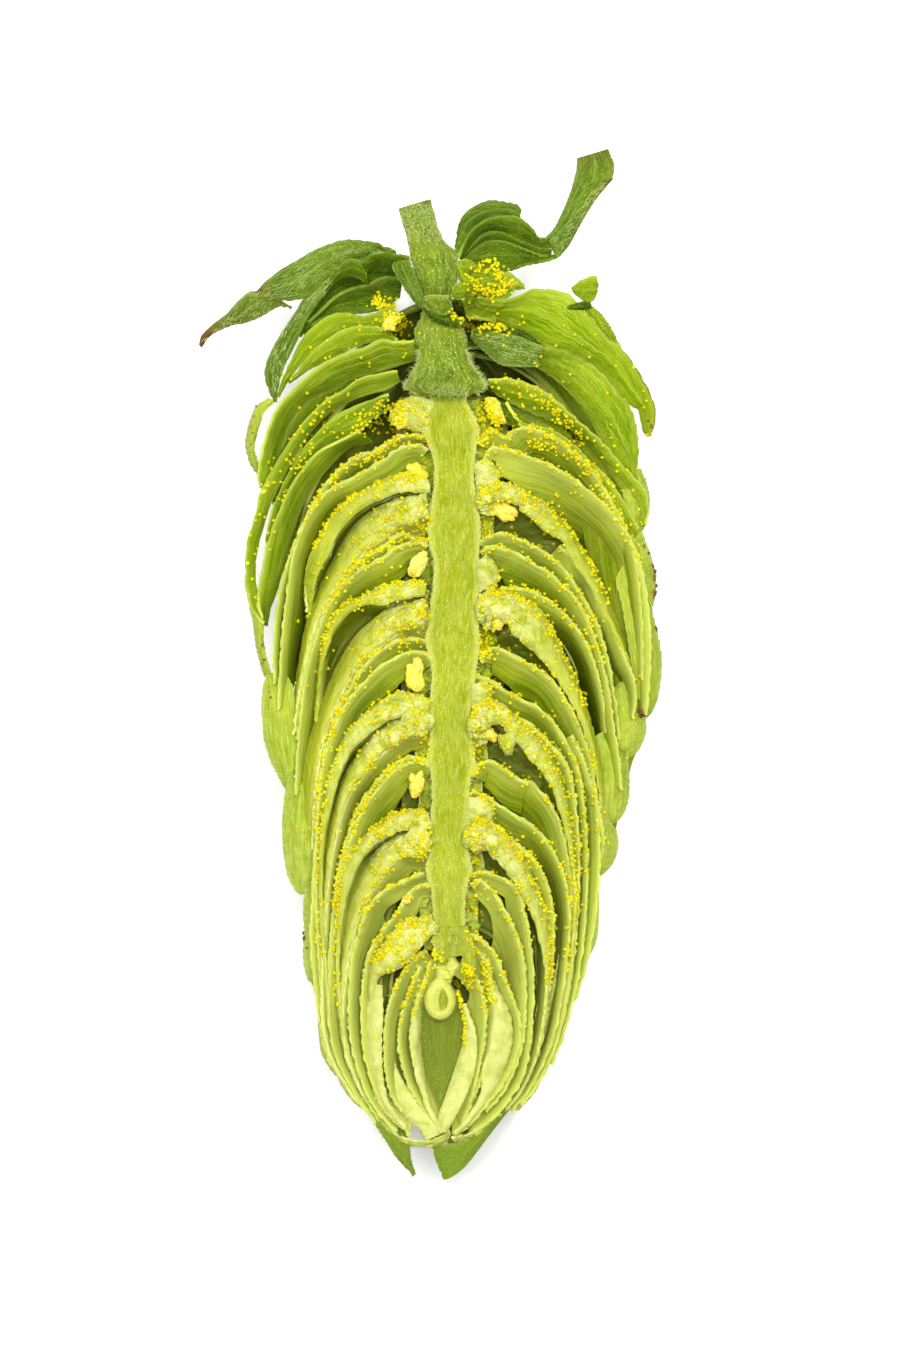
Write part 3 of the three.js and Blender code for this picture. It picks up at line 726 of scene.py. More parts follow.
# The torn leaf beside it
loft(upper, "590,304 598,312 608,325 616,339 622,348", "584,309 592,318 600,330 608,342 616,352",
     [0.3, 0.2, 0, -0.2], [0.2, 0.1, 0, -0.3], tone=1.0, edge=0.8, rows=40,
     brown=((0, 0), (0.5, 0.1), (1, 0.5)))
loft(upper, "571,288 582,281 595,277 598,284", "573,291 581,298 590,302 596,296", [0.4, 0.7, 0.5],
     [0.3, 0.4, 0.4], tone=1.0, rows=30, belly=0.2)
loft(hoods, "562,307 572,306 582,303 590,302", "562,310 572,310 584,309 592,307", [0.3, 0.4, 0.5],
     [0.2, 0.3, 0.4], tone=0.3, rows=30)
# The right leaf, layer over layer, its tail and its turned end with the red rim
loft(green, "455,248 457,238 461,222 466,214 478,206 490,202 502,203 512,204 519,207 519,219",
     "459,258 463,244 469,232 477,225 487,220 500,218 510,218 516,219 520,220 521,221",
     [0.2, 0.7, 1.1, 1.0, 0.8], [0.1, 0.4, 0.7, 0.7, 0.7], belly=0.3, tone=0.6, edge=0.3)
loft(hoods, "458,259 464,243 473,229 487,220 505,217 521,219 530,227 537,237 546,239",
     "463,259 471,245 482,234 495,231 509,235 523,242 535,246 545,248 553,247", [0.3, 0.7, 0.9, 0.8, 0.4],
     [-0.2, -0.1, 0.2, 0.2, 0.2], belly=0.3, tone=0.6, edge=1.0)
loft(hoods, "461,260 471,245 483,235 496,231 510,236 524,243 538,247 552,249",
     "464,260 474,249 486,242 500,241 514,244 528,250 542,254 551,256", [-0.1, 0.1, 0.4, 0.3, 0.2],
     [-0.6, -0.5, -0.2, -0.1, 0], belly=0.2, tone=0.2, edge=0.9)
loft(hoods, "462,261 474,249 486,242 500,241 515,245 530,251 545,256 556,256",
     "468,262 484,267 500,270 511,270 525,265 540,262 552,259 561,254", [-0.2, 0.1, 0.2, 0.2, 0.1],
     [0.2, 0.4, 0.5, 0.4, 0.2], belly=-0.4, tone=0.3, edge=0.4)
loft(green, "545,240 556,228 562,216 568,202 573,188 576,174",
     "553,240 563,228 570,216 576,203 581,194 586,186", [0.2, 0.3, 0.1, -0.1], [0.5, 0.5, 0.3, 0.1], tone=1.0,
     edge=0.4)
loft(green, "549,241 562,229 570,217 576,204 582,194 588,186 598,181 611,178",
     "556,259 566,248 573,236 580,223 587,211 595,199 603,189 612,178", [0.6, 0.6, 0.4, 0.2, 0.1],
     [0.2, 0.2, 0.1, 0, 0], tone=0.9, edge=0.4, belly=0.25, brown=((0, 0), (0.75, 0), (0.9, 0.5), (1, 1)))
loft(green, "568,206 572,192 575,178 577,168 577,158", "584,192 594,183 612,177 614,167 608,149",
     [0.0, -0.1, 0], [0, 0.2, 0.2], tone=1.0, edge=0.3, rows=50, brown=((0, 0), (0.5, 0), (1, 0.3)))
# The floor under the heap of lupulin, darkened a little as painted shade, and the pale flap beside it
loft(upper, "462,270 475,267 490,267 502,269 509,276", "464,290 478,295 492,298 506,298 514,293",
     [-0.1, 0.1, 0.1, 0], [0.0, 0.0, 0, 0], tone=0.3, edge=0.3, rows=40, shade=0.15)
loft(upper, "500,268 508,272 516,279 524,287", "504,288 510,289 517,289 524,288", [0.1, 0.2, 0.2],
     [0, 0.1, 0.2], tone=1.0, edge=1.0, rows=30, wet=0.6)

# The foot, edge by edge
FOOT_LEFT = [
    ("424,872 403,881 382,892 367,908 359,930 352,955 349,986 348,1018 352,1050 361,1081 374,1108 386,1122"
     " 397,1132", 12),
    ("438,884 416,887 397,912 378,936 368,955 362,985 361,1020 365,1060 374,1090 386,1112 400,1126", 12),
    ("426,950 410,962 396,985 387,1010 384,1045 386,1075 392,1098 402,1112", 10),
    ("420,966 409,990 401,1016 398,1041 401,1062 408,1084 420,1106 438,1130", 6),
    ("430,961 425,978 417,998 412,1018 411,1040 414,1062 421,1086 430,1108 443,1132", 6),
]
FOOT_RIGHT = [
    ("470,874 483,872 500,877 517,888 525,912 531,944 534,976 533,1018 530,1050 523,1078 510,1100 492,1120"
     " 470,1136", 10),
    ("470,884 479,880 489,887 504,908 515,930 523,955 526,986 526,1010 524,1040 516,1068 502,1095 486,1112",
     10),
    ("466,932 479,938 492,950 502,970 512,995 520,1016 521,1034 516,1060 504,1084 487,1106 470,1125 454,1138",
     9),
    ("466,938 475,948 487,961 492,986 496,1011 494,1039 487,1066 478,1090 468,1110", 8),
    ("462,962 471,970 479,982 485,1003 485,1039 479,1070 470,1108 462,1124", 8),
]
for side, blades in ((-1, FOOT_LEFT), (1, FOOT_RIGHT)):
    for k, (pairs, wide) in enumerate(blades):
        # On the foot the pale band reaches far over each face, partly painted light, and the innermost left
        # blade gets a quicker painted shade
        cut_blade(left_bracts if side < 0 else right_bracts, side, pairs, width=3.2 - 0.3 * k, root=0.9,
                  cup=0.8, face=[(0, 4), (0.3, 0.8 * wide), (0.6, wide), (1, 5)],
                  sink=[(0, 0), (0.85, 0), (1, 0.3)], pale=0.9, band=1.3 if k == 4 else 2.2,
                  painted_shade_by_depth=[(0.28, 0), (0.42, 0.45), (0.9, 0.6)] if side < 0 and k == 4 else PAINTED_SHADE_BY_DEPTH)
        grains_along(pairs, 30, 1.6, 0.35)
# The last folded scale, wet and covered in lupulin
loft(foot_scales, "432,918 420,919 407,921 396,930 386,942 378,955 371,968 369,985 367,1005 366,1030",
     "434,928 424,940 414,953 404,965 392,972 380,975 374,990 372,1010 371,1030 370,1050",
     [-0.2, -0.1, -0.3, -0.8, -1.0], [0.1, 0.2, 0.1, -0.4, -0.8], flesh=0.7, fades=0.5, rows=90, columns=19,
     tone=1.0)
grains_along("430,920 410,924 394,936 384,948 374,966", 120, 4)
grains_along("430,930 416,944 404,956 390,966", 60, 6)
# Pale scales round the dark hollow
PALE_SCALES = [
    ("416,1000 411,1025 410,1045 413,1064 419,1088 428,1110 441,1133",
     "420,1000 420,1025 420,1045 422,1064 426,1086 433,1110 443,1133", [0.0, 0.1, 0.05, 0],
     [-0.4, -0.6, -0.4, -0.1]),
    ("393,1060 401,1078 412,1094 424,1108 436,1120 444,1133",
     "391,1064 390,1084 396,1103 409,1120 419,1128 427,1140", [-0.9, -0.5, -0.2, -0.1],
     [-1.0, -0.7, -0.4, -0.2]),
    ("462,1004 465,1028 464,1042 458,1062 451,1082 445,1100 439,1118 440,1131",
     "464,1004 474,1024 477,1045 475,1068 468,1090 460,1108 452,1122 445,1133", [-0.5, -0.3, -0.15, 0],
     [0.0, 0.15, 0.1, 0]),
    ("492,985 494,1004 492,1028 489,1050 482,1070 482,1090 470,1114 452,1133",
     "493,983 503,1000 511,1022 511,1046 504,1068 494,1090 478,1112 457,1134", [-0.1, 0.0, 0, -0.1],
     [-0.4, -0.3, -0.2, -0.2]),
    ("382,985 383,1010 382,1040 382,1070 386,1095 396,1115 406,1128",
     "372,984 368,1010 367,1040 371,1070 379,1094 391,1114 404,1130", [0.0, 0.05, 0, -0.2],
     [-0.3, -0.4, -0.3, -0.3]),
]
for first, second, first_z, second_z in PALE_SCALES:
    loft(foot_scales, first, second, first_z, second_z, tone=0.7, edge=1.0, belly=0.12, wet=0.3, flesh=0.12,
         fades=3.0, columns=17)
# The shaded floor of the hollow
loft(upper, "424,990 419,1015 419,1040 421,1062 426,1086 436,1118",
     "460,990 465,1015 466,1040 464,1065 457,1086 442,1119", [-0.55, -0.6, -0.6, -0.55, -0.3],
     [-0.55, -0.6, -0.6, -0.55, -0.3], belly=-0.3, tone=0.3, edge=0.0, shade=0.56, wave=0.02)
grains_along("455,980 459,994 462,1006 465,1020 465,1030 464,1044", 60, 1.0)
grains_along("466,968 470,976 470,986", 50, 3)
grains_along("484,962 486,975 488,990 492,1002", 50, 2)
# The scale under the foot that closes it, with the gap on its left
loft(foot_scales, "380,1113 388,1125 398,1135 410,1140 424,1141 436,1139 444,1135 449,1130",
     "377,1119 386,1131 396,1140 410,1146 424,1147 438,1145 447,1140 451,1134", [-0.5, -0.25, -0.2, -0.3],
     [-0.8, -0.6, -0.6, -0.5], tone=0.6, edge=0.6, belly=0.05, wave=0.1, thick=0.12)
loft(foot_scales, "451,1138 460,1136 470,1133 480,1126 492,1116 506,1102",
     "453,1141 462,1142 474,1140 486,1133 498,1122 511,1108", [-0.2, -0.25, -0.3, -0.5],
     [-0.5, -0.7, -0.7, -0.9], tone=0.8, edge=0.8, belly=0.05, wave=0.1, thick=0.12)
loft(foot_scales, "372,1090 380,1106 392,1120 404,1130 409,1138",
     "384,1088 390,1100 398,1112 407,1121 411,1126", [-0.4, -0.2, -0.2], [-0.7, -0.6, -0.4], tone=0.8)
loft(hoods, "367,1108 374,1122 386,1140 398,1158 407,1168 414,1176",
     "404,1128 408,1140 409,1150 410,1160 412,1168 415,1175", [-0.8, -0.7, -0.6], [-0.9, -0.7, -0.6],
     tone=0.9, edge=0.7)
loft(hoods, "432,1143 448,1145 466,1140 483,1127 505,1108",
     "436,1158 443,1176 445,1180 450,1178 462,1169 475,1153 490,1133 508,1110", [-0.7, -0.6, -0.5],
     [-0.8, -0.6, -0.8], tone=0.6, belly=0.2, edge=0.6)

# Rounded ends of the outer scales, which make the outline, and then two thin folds of the left leaf bract
LOBES = [
    ("640,468 646,482 649,497 648,512 645,524 640,533", "630,476 632,490 634,504 637,518 638,527 640,534"),
    ("641,530 647,545 652,562 655,578 655,592 652,606", "628,538 632,560 638,578 643,592 647,601 652,607"),
    ("636,556 646,585 652,612 658,638 661,655 661,668 659,690 655,705 650,714 646,717",
     "622,566 630,600 636,630 639,650 641,670 642,690 643,702 644,710 645,715 645,718"),
    ("630,676 640,698 645,718 645,734 641,745 635,753 628,758",
     "612,690 618,708 621,722 623,735 625,746 627,753 627,759"),
    ("618,724 626,748 628,768 629,788 627,804 622,815 615,822 609,824",
     "602,732 603,760 603,785 603,800 604,811 605,818 608,822 608,825"),
    ("608,818 616,832 617,850 614,860 608,869 602,874 597,877",
     "598,812 598,830 597,845 596,858 596,866 596,872 596,878"),
    ("592,858 597,880 598,900 598,920 596,940 591,952 584,962",
     "580,862 580,885 580,905 580,925 581,940 582,952 583,963"),
    ("586,938 585,958 583,974 579,985 573,993 566,999 562,1001",
     "570,948 566,966 563,980 561,989 560,995 560,999 561,1002"),
    ("566,982 560,1000 557,1015 556,1028 552,1038 547,1046",
     "554,980 550,996 546,1010 545,1024 545,1036 546,1047"),
    ("550,1026 548,1045 546,1060 542,1075 537,1088 530,1098 522,1106 518,1111",
     "538,1032 535,1048 532,1062 528,1075 524,1087 521,1096 518,1104 517,1111"),
    ("266,674 263,690 262,705 263,725 265,742 269,755 274,768 280,778 287,790",
     "280,672 284,692 287,712 289,730 290,748 290,762 290,774 289,784 288,791"),
    ("288,776 285,796 283,820 283,840 285,860 289,878 294,889 300,894 306,891",
     "302,782 306,802 308,822 309,842 310,860 310,874 309,884 308,890 307,892"),
    ("306,880 304,900 304,915 305,930 304,945 304,960 306,973 311,983 317,988",
     "318,884 320,904 321,922 322,940 322,956 322,968 320,978 319,985 318,989"),
    ("318,974 318,995 319,1018 320,1040 322,1053 327,1064 333,1072 338,1077",
     "330,978 331,998 332,1018 333,1038 336,1050 338,1060 339,1070 339,1078"),
    ("336,1068 340,1082 346,1092 353,1101 360,1107 367,1110",
     "350,1066 354,1078 359,1088 363,1097 366,1104 368,1110"),
    ("268,398 257,406 252,416 248,430 246,445 249,458 254,468 264,480",
     "274,401 264,411 259,422 255,436 253,448 255,458 260,467 267,477"),
    ("247,590 250,606 254,624 256,642 259,656 263,670 268,682",
     "256,594 260,612 262,628 262,642 265,656 269,668 273,681"),
]
outer_lobes = Bundle("outer_lobes", outer_look)
for n, (outer, inner) in enumerate(LOBES):
    hidden = path_through(inner, 12)
    if n < len(LOBES) - 2:
        hidden[1:-2, 0] += 9 * np.sign(AXIS_PX - hidden[1:-2, 0])
    loft(outer_lobes, outer, hidden, [-1.1, -1.7, -1.8, -1.6], [-1.0, -1.0, -1.0, -1.2], belly=0.4, rows=60,
         columns=13, edge=0.25, wave=0.09)

# Whole scales round the back
CUT_MARGIN = math.radians(7)
BACK_SINK = 0.9


def whole_scale(bundle, azimuth, root, drop, width, tuck):
    """root and drop are heights along the cone in pixels of the view, and tuck draws it towards the axis."""
    rows, columns = 23, 13
    r0, r1 = ramp(root - 16, ENVELOPE) * PIXEL, ramp(root + 0.6 * drop, ENVELOPE) * PIXEL
    y0, down = (ZERO_PX - root) * PIXEL, drop * PIXEL
    tip = ramp(root + drop, ENVELOPE) * PIXEL - 0.75 - tuck
    spine = bezier((0.3, y0), (0.5 * r0, y0 + 0.4), (0.93 * r1 - tuck, y0 - 0.4 * down), (tip, y0 - down),
                   rows)
    u = np.linspace(0, 1, rows)[:, None]
    v = np.linspace(-1, 1, columns)
    reach = width * (0.04 + 0.26 * (1 - u) + 0.8 * np.sin(math.pi * u**1.3) ** 0.7)
    bend = np.maximum(1.6, spine[:, :1])
    room = np.where(v < 0, azimuth - CUT_MARGIN, math.pi - CUT_MARGIN - azimuth)
    turn = azimuth + v * np.minimum(reach / bend, np.maximum(room, 0.08))
    curl = 0.22 * v**2 * np.sin(math.pi * u) ** 2 + 0.06 * ripple(u, 1.5, 3) * np.abs(v)
    centre = spine[:, :1] - bend
    x = centre * math.cos(azimuth) + (bend - curl) * np.cos(turn)
    y = spine[:, 1:] - 0.3 * v**2 * (1 - u)
    z = CUT - BACK_SINK - centre * math.sin(azimuth) - (bend - curl) * np.sin(turn)
    sheet(bundle, np.stack([x, y, np.maximum(z, 0.08)], 2), 0.16, {
        "along": u,
        "across": 0.5 + 0.5 * v,
        "tone": rng.random(),
        "edge": 0.35 * np.abs(v) ** 12,
        # Painted shade on the part near the axis, which shows in the hollows of the cut face
        "shade": ramp(u, [(0.36, 0.8), (0.6, 0)]),
    })


back_scales = Bundle("bracts_back", outer_look)
ROOTS = [300, 342, 437, 533, 640, 756, 873, 960]
for row, azimuth in enumerate([14, 38, 64, 90, 116, 142, 166]):
    for root in ROOTS:
        y = root + (row % 2) * 50
        drop = 235 if y < 900 else 1150 - y
        width = 0.34 * max(70, ramp(y + 0.6 * drop, ENVELOPE)) * PIXEL
        steep = 0.8 if azimuth in (14, 166) else 0.25 if azimuth in (38, 142) else 0.0
        whole_scale(back_scales, math.radians(azimuth + rng.normal(0, 2)), y, drop, width, steep)


def blob(bundle, centre, size, bumps, tilt=0.0, detail=24, **marks):
    """A rounded lumpy body."""
    lat = np.linspace(0.12, math.pi - 0.12, detail // 2)[:, None]
    lon = np.linspace(0, 2 * math.pi, detail, endpoint=False)
    x, y, z = np.sin(lat) * np.cos(lon), np.cos(lat) * np.ones(detail), np.sin(lat) * np.sin(lon)
    waves = [np.sin(times * over + rng.random() * 6) for times, over in ((5, x), (4, y), (11, z), (9, y))]
    swell = 1 + bumps * (waves[0] * waves[1] + 0.6 * waves[2] * waves[3])
    x, y, z = (over * swell * radius for over, radius in zip((x, y, z), size))
    c, s = math.cos(tilt), math.sin(tilt)
    tube(bundle, np.stack([x * c - y * s, x * s + y * c, z], 2) + centre,
         {"tone": rng.random(), "wet": 0.3, **marks})


# Margins of the strig, cut flat, and of the whole stalk above it
STRIG_LEFT = line("425,386 431,400 426,418 423,432 429,447 434,462 434,482 431,505 427,528 429,545 434,562"
                  " 433,585 430,605 428,625 424,641 430,658 432,675 430,698 427,712 430,728 429,745 427,757"
                  " 431,775 432,800 430,818 428,832 430,850 426,864 425,873 431,888 433,915 436,940 440,958")
STRIG_RIGHT = line("470,386 465,400 472,411 480,428 477,443 475,462 474,482 478,502 481,528 480,545 478,562"
                   " 481,582 478,600 478,622 481,642 478,660 474,688 470,714 473,740 476,763 470,780 469,800"
                   " 468,820 466,836 469,852 473,870 467,884 465,905 465,930 470,950 472,972")
STALK_LEFT = line("399,207 401,216 404,227 408,242 410,256 413,268 417,282 421,296 424,307 419,320 414,330"
                  " 414,339 418,350 418,362 411,375 402,387 412,393 430,397")
STALK_RIGHT = line("430,202 434,214 438,228 443,240 450,247 457,251 458,262 459,276 455,289 451,300 453,312"
                   " 462,324 467,336 468,350 471,362 480,374 488,386 480,392 467,397")


def stem(bundle, left_line, right_line, top_y, end_y, flat, rows, around, tone, slant=0.0, sunk=0.0,
         shade=0.0):
    """A stem between two margins of the view, cut flat where flat is 1 and whole where it is 0, darkened by
    shade as painted shade. The heights of its rings and the margins there are returned."""
    y = np.linspace(top_y, end_y, rows)
    margins = (np.interp(y, points[:, 1], points[:, 0]) for points in (left_line, right_line))
    left, right = (smoothed(margin, 7) + 0.6 * ripple(y / 700, 40) for margin in margins)
    middle_x, half = ((left + right) / 2 - AXIS_PX) * PIXEL, (right - left) / 2 * PIXEL
    turn = np.linspace(0, 2 * math.pi, around, endpoint=False)
    cos, sin = np.cos(turn), np.sin(turn)
    above = sin > 0
    wide = np.where(above, np.sign(cos) * np.abs(cos) ** (1 - 0.6 * flat), cos)
    x = middle_x[:, None] + half[:, None] * wide
    top = np.minimum(half, 1.1) * 0.75 * (1 - flat) + 0.08 * flat
    z = CUT + np.where(above, top[:, None] * np.abs(sin) ** (0.7 + 0.1 * flat), half[:, None] * 0.9 * sin)
    rough = lumps(x * 2.2, np.broadcast_to(y[:, None] * PIXEL * 0.35, x.shape), 1.1)
    z = z - sunk + 0.025 * rough * (1 - np.abs(wide) ** 6)
    near_top = np.exp(-(y - top_y) / 18)[:, None]
    long_way = (ZERO_PX - y)[:, None] * PIXEL + slant * (x - middle_x[:, None]) * near_top
    rim = np.clip((np.abs(wide) - 0.7) / 0.3, 0, 1) * (sin > -0.3)
    tube(bundle, np.stack([x, long_way, z], 2), {
        "along": (y / 60)[:, None],
        "across": 0.6 * wide,
        "tone": tone,
        "edge": rim * 0.8 * (0.3 + 0.7 * flat),
        "wet": np.full(x.shape, 0.15),
        "shade": shade,
    })
    return y, left, right


strig = Bundle("strig", strig_look)
stalk = Bundle("stalk", stalk_look)
strig_y, strig_left, strig_right = stem(strig, STRIG_LEFT, STRIG_RIGHT, 387, 956, 1, 240, 44, 0.5)
stalk_y, stalk_left, stalk_right = stem(stalk, STALK_LEFT, STALK_RIGHT, 204, 397, 0, 130, 44, 0.3, slant=0.3)
# The rough sleeve of scale bases round the strig, which closes the corners between the scales
bases = Bundle("scale_bases", bract_look)
stem(bases, STRIG_LEFT - (13, 0), STRIG_RIGHT + (13, 0), 392, 950, 1, 160, 36, 0.0, sunk=1.05)
# A wider sleeve deeper down, darkened as painted shade, fills the view into the gaps
stem(bases, STRIG_LEFT - (30, 0), STRIG_RIGHT + (30, 0), 396, 940, 1, 80, 36, 0.0, sunk=2.3, shade=0.6)
for side in (-1, 1):
    for y in np.arange(402, 940, 9.0):
        x = np.interp(y, strig_y, strig_left if side < 0 else strig_right) + side * rng.uniform(3, 11)
        blob(bases, (*plan((x, y + rng.uniform(-3, 3))), CUT - 1.0), (0.36, 0.3, 0.3), 0.25, rng.normal(0, 1),
             14)

# The two feet of the strig, and the small scales that cross the stalk
loft(strig, "434,930 434,945 437,956 441,962", "450,926 449,940 447,952 442,962", [0.1, 0.1, 0],
     [0.1, 0, -0.1], belly=0.1, thick=0.6, rows=30)
loft(strig, "452,926 458,940 463,954 470,976", "468,926 471,940 473,956 472,976", [0, 0, 0.1],
     [0.1, 0.1, 0.1], belly=0.1, thick=0.6, rows=30)
loft(stalk, "423,300 430,298 438,298 449,297", "425,306 432,312 440,316 450,313", [1.0, 1.1, 1.1, 0.9],
     [1.2, 1.3, 1.2, 1.0], thick=0.3, tone=1.0, edge=1.0, rows=30)
loft(hoods, "424,307 434,313 446,317 462,319", "430,317 438,322 448,325 464,327", [1.3, 1.3, 1.1, 0.7],
     [1.0, 1.1, 1.0, 0.6], tone=0.0, edge=0.0, rows=30)
loft(upper, "459,261 464,260 470,262 478,267", "459,277 464,275 470,272 478,268", [0.2, 0.3, 0.3],
     [0.1, 0.2, 0.2], tone=1.0, rows=30)
loft(upper, "457,262 459,272 463,282 472,286 480,289 488,296",
     "461,262 463,270 468,279 475,282 482,285 489,292", [0.5, 0.4, 0.3], [0.6, 0.5, 0.3], tone=1.0, edge=1.0,
     thick=0.22, rows=40)
loft(upper, "462,300 465,293 472,289 482,288 492,291", "466,315 469,318 476,319 486,320 496,322",
     [0.3, 0.2, 0.1, 0], [-0.8, -1.0, -1.0, -0.9], tone=0.4, edge=0.9, belly=-0.5, rows=40)
loft(upper, "452,288 458,284 466,284 474,287", "452,297 458,299 464,297 468,292", [0.4, 0.5, 0.4],
     [0.2, 0.2, 0.2], tone=0.9, rows=30)

# Seeds
seeds = Bundle("seeds", seed_look)
SEEDS = [(418, 472, 11, 7, -0.9), (418, 565, 9, 15, -0.25), (415, 677, 9, 17, 0.1), (417, 785, 8, 15, 0.1),
         (402, 420, 11, 7, 0.3), (495, 412, 8, 16, 0.65), (502, 511, 16, 9, -0.5), (496, 623, 8, 9, 0.5),
         (490, 735, 10, 6, -0.6), (484, 846, 7, 5, 0), (391, 322, 11, 6, 0.5), (408, 899, 7, 4, 0.6)]
for px, py, wide, tall, lean in SEEDS:
    x, y = plan((px, py))
    c, s = math.cos(lean), math.sin(lean)
    for n in range(6):
        away = rng.uniform(-0.7, 0.7, 2) * (wide, tall) * PIXEL * (n > 0)
        turned = (away[0] * c - away[1] * s, away[0] * s + away[1] * c)
        share = 0.78 if n == 0 else rng.uniform(0.25, 0.42)
        size = (share * wide * PIXEL + 0.06, share * tall * PIXEL + 0.06, 0.36 if n == 0 else 0.3)
        place = (x + turned[0], y + turned[1], CUT - 0.1 + rng.uniform(0, 0.12))
        blob(seeds, place, size, 0.13, lean + rng.normal(0, 0.3), along=rng.random(), wet=0.2)

# Bud at the end of the strig, with its slot, and the pale tissue that holds it
bud = Bundle("bud", strig_look)
HELD_BY = [(446, 953, 0.55, 0.5), (441, 964, 0.5, 0.5), (450, 966, 0.45, 0.5), (444, 976, 0.5, 0.45)]
for px, py, wide, tall in HELD_BY:
    blob(bud, (*plan((px, py)), CUT - 0.5), (wide, tall, 0.42), 0.15, rng.normal(0, 0.5), edge=0.55, wet=0.6)
bud_x, bud_y = plan((440, 1001))
turn = np.linspace(0, 2 * math.pi, 72, endpoint=False)
# How wide and how high each ring is, and how pale
BUD_RINGS = [(0.07, -0.22, 0), (0.16, -0.2, 0), (0.24, -0.1, 0.1), (0.32, 0.0, 0.5), (0.5, 0.06, 0.8),
             (0.72, 0.02, 0.85), (0.88, -0.1, 0.7), (0.97, -0.32, 0.5), (1.0, -0.6, 0.3), (0.9, -1.1, 0),
             (0.6, -1.5, 0), (0.2, -1.6, 0)]
share, height, pale = np.array(BUD_RINGS).T[..., None]
slot = share < 0.4
x = bud_x + share * np.where(slot, 0.7, 0.84) * np.cos(turn) + np.where(slot, 0.16, 0)
lift = np.where(slot, 0, 0.22 * np.maximum(0, np.sin(turn)) ** 4)
y = bud_y + share * np.where(slot, 1.9, 1.02) * np.sin(turn) + lift
z = CUT + height + 0.02 * np.array([ripple(turn / 6.28, 7) for _ in BUD_RINGS])
tube(bud, np.stack([x, y, z], 2), {
    "along": np.linspace(0, 1, len(BUD_RINGS))[:, None],
    "across": 0.4 * np.sin(turn),
    "tone": 0.8,
    "edge": pale,
    "wet": 0.3,
}, inside_out=True)

# Lupulin
GRAIN_RADII = (0.062, 0.104)
GRAINS_IN_PIECE = 5000


def grain_shape():
    """A ball of 32 triangles: an octahedron, divided once."""
    points = [sign * axis for axis in np.eye(3) for sign in (1, -1)]
    corners = [(0, 2, 4), (2, 1, 4), (1, 3, 4), (3, 0, 4), (2, 0, 5), (1, 2, 5), (3, 1, 5), (0, 3, 5)]
    made, halves = [], {}

    def half(a, b):
        key = (min(a, b), max(a, b))
        if key not in halves:
            middle = points[a] + points[b]
            points.append(middle / np.linalg.norm(middle))
            halves[key] = len(points) - 1
        return halves[key]

    for a, b, c in corners:
        ab, bc, ca = half(a, b), half(b, c), half(c, a)
        made += [(a, ab, ca), (b, bc, ab), (c, ca, bc), (ab, bc, ca)]
    return np.array(points), np.array(made)


grown = (left_bracts, right_bracts, bracteoles, folded_scales, foot_scales, upper, hoods, green, outer_lobes,
         back_scales, strig, stalk, bases, seeds, bud)
corners, faces, offset = [], [], 0
for bundle in grown:
    corners += bundle.points
    faces += [[corner + offset for corner in face] for face in bundle.faces]
    offset += bundle.size
skin = BVHTree.FromPolygons(np.concatenate(corners).tolist(), faces)
# A ray falls on the cone from above, and what it meets below the lowest height is no seat
DOWN = Vector((0, 0, -1))
ABOVE, LOWEST = 20, 3


def seat(x, y):
    """The highest tissue at a place of the view and the way it faces, or None for both."""
    place, normal, _, _ = skin.ray_cast(Vector((x, y, ABOVE)), DOWN)
    return (None, None) if place is None or place.z < LOWEST else (np.array(place), np.array(normal))


HEAPS = [
    ("452,315 460,318 468,322 476,325 486,325 498,328 508,331", 120, 2.4),
    ("474,268 484,266 496,268 503,276 505,288 496,293 484,289 474,284 470,276", 170, 4),
    ("384,316 392,311 400,318 404,326 396,332", 75, 6),
    ("372,300 384,302 396,306", 50, 4),
    ("396,400 388,408 378,416 366,424 352,432", 75, 6),
    ("410,400 402,408 396,420 400,430", 75, 6),
    ("482,400 486,410 492,420 500,430", 110, 5),
    ("330,400 318,415 308,432 300,450 290,470", 36, 5),
    ("506,382 524,388 545,400 565,418 585,440", 80, 5),
    ("526,440 545,446 570,452 590,470 606,490 614,506", 90, 4),
]
for pairs, count, spread in HEAPS:
    grains_along(pairs, count, spread)
for _ in range(30):
    side = rng.choice([-1, 1])
    spot = (AXIS_PX + side * rng.uniform(50, 150), rng.uniform(440, 860))
    dusting.append((plan(np.full((rng.integers(2, 6), 2), spot)), 0.35))

# The cut face of the strig stays nearly clear of them
CLEAR_FROM, CLEAR_TO, CLEAR_SHARE = 398, 950, 0.93
ball, ball_faces = grain_shape()
grains = []
for places, spread in dusting:
    for x, y in places + rng.normal(0, spread, places.shape):
        place, normal = seat(x, y)
        px, py = AXIS_PX + x / PIXEL, ZERO_PX - y / PIXEL
        inside = np.interp(py, strig_y, strig_left) + 2 < px < np.interp(py, strig_y, strig_right) - 2
        clear = inside and CLEAR_FROM < py < CLEAR_TO
        if place is not None and not (clear and rng.random() < CLEAR_SHARE):
            grains.append(place + normal * 0.04)
grains = np.array(grains)
rng.shuffle(grains)
for part, chunk in enumerate(np.array_split(grains, max(1, math.ceil(len(grains) / GRAINS_IN_PIECE)))):
    piece = Bundle(f"lupulin_{part + 1}", lupulin_look)
    for centre in chunk:
        radii = rng.uniform(*GRAIN_RADII) * rng.uniform(0.88, 1.12, 3)
        piece.add(ball * radii + centre, [ball_faces], {"tone": rng.random()})
    piece.build()

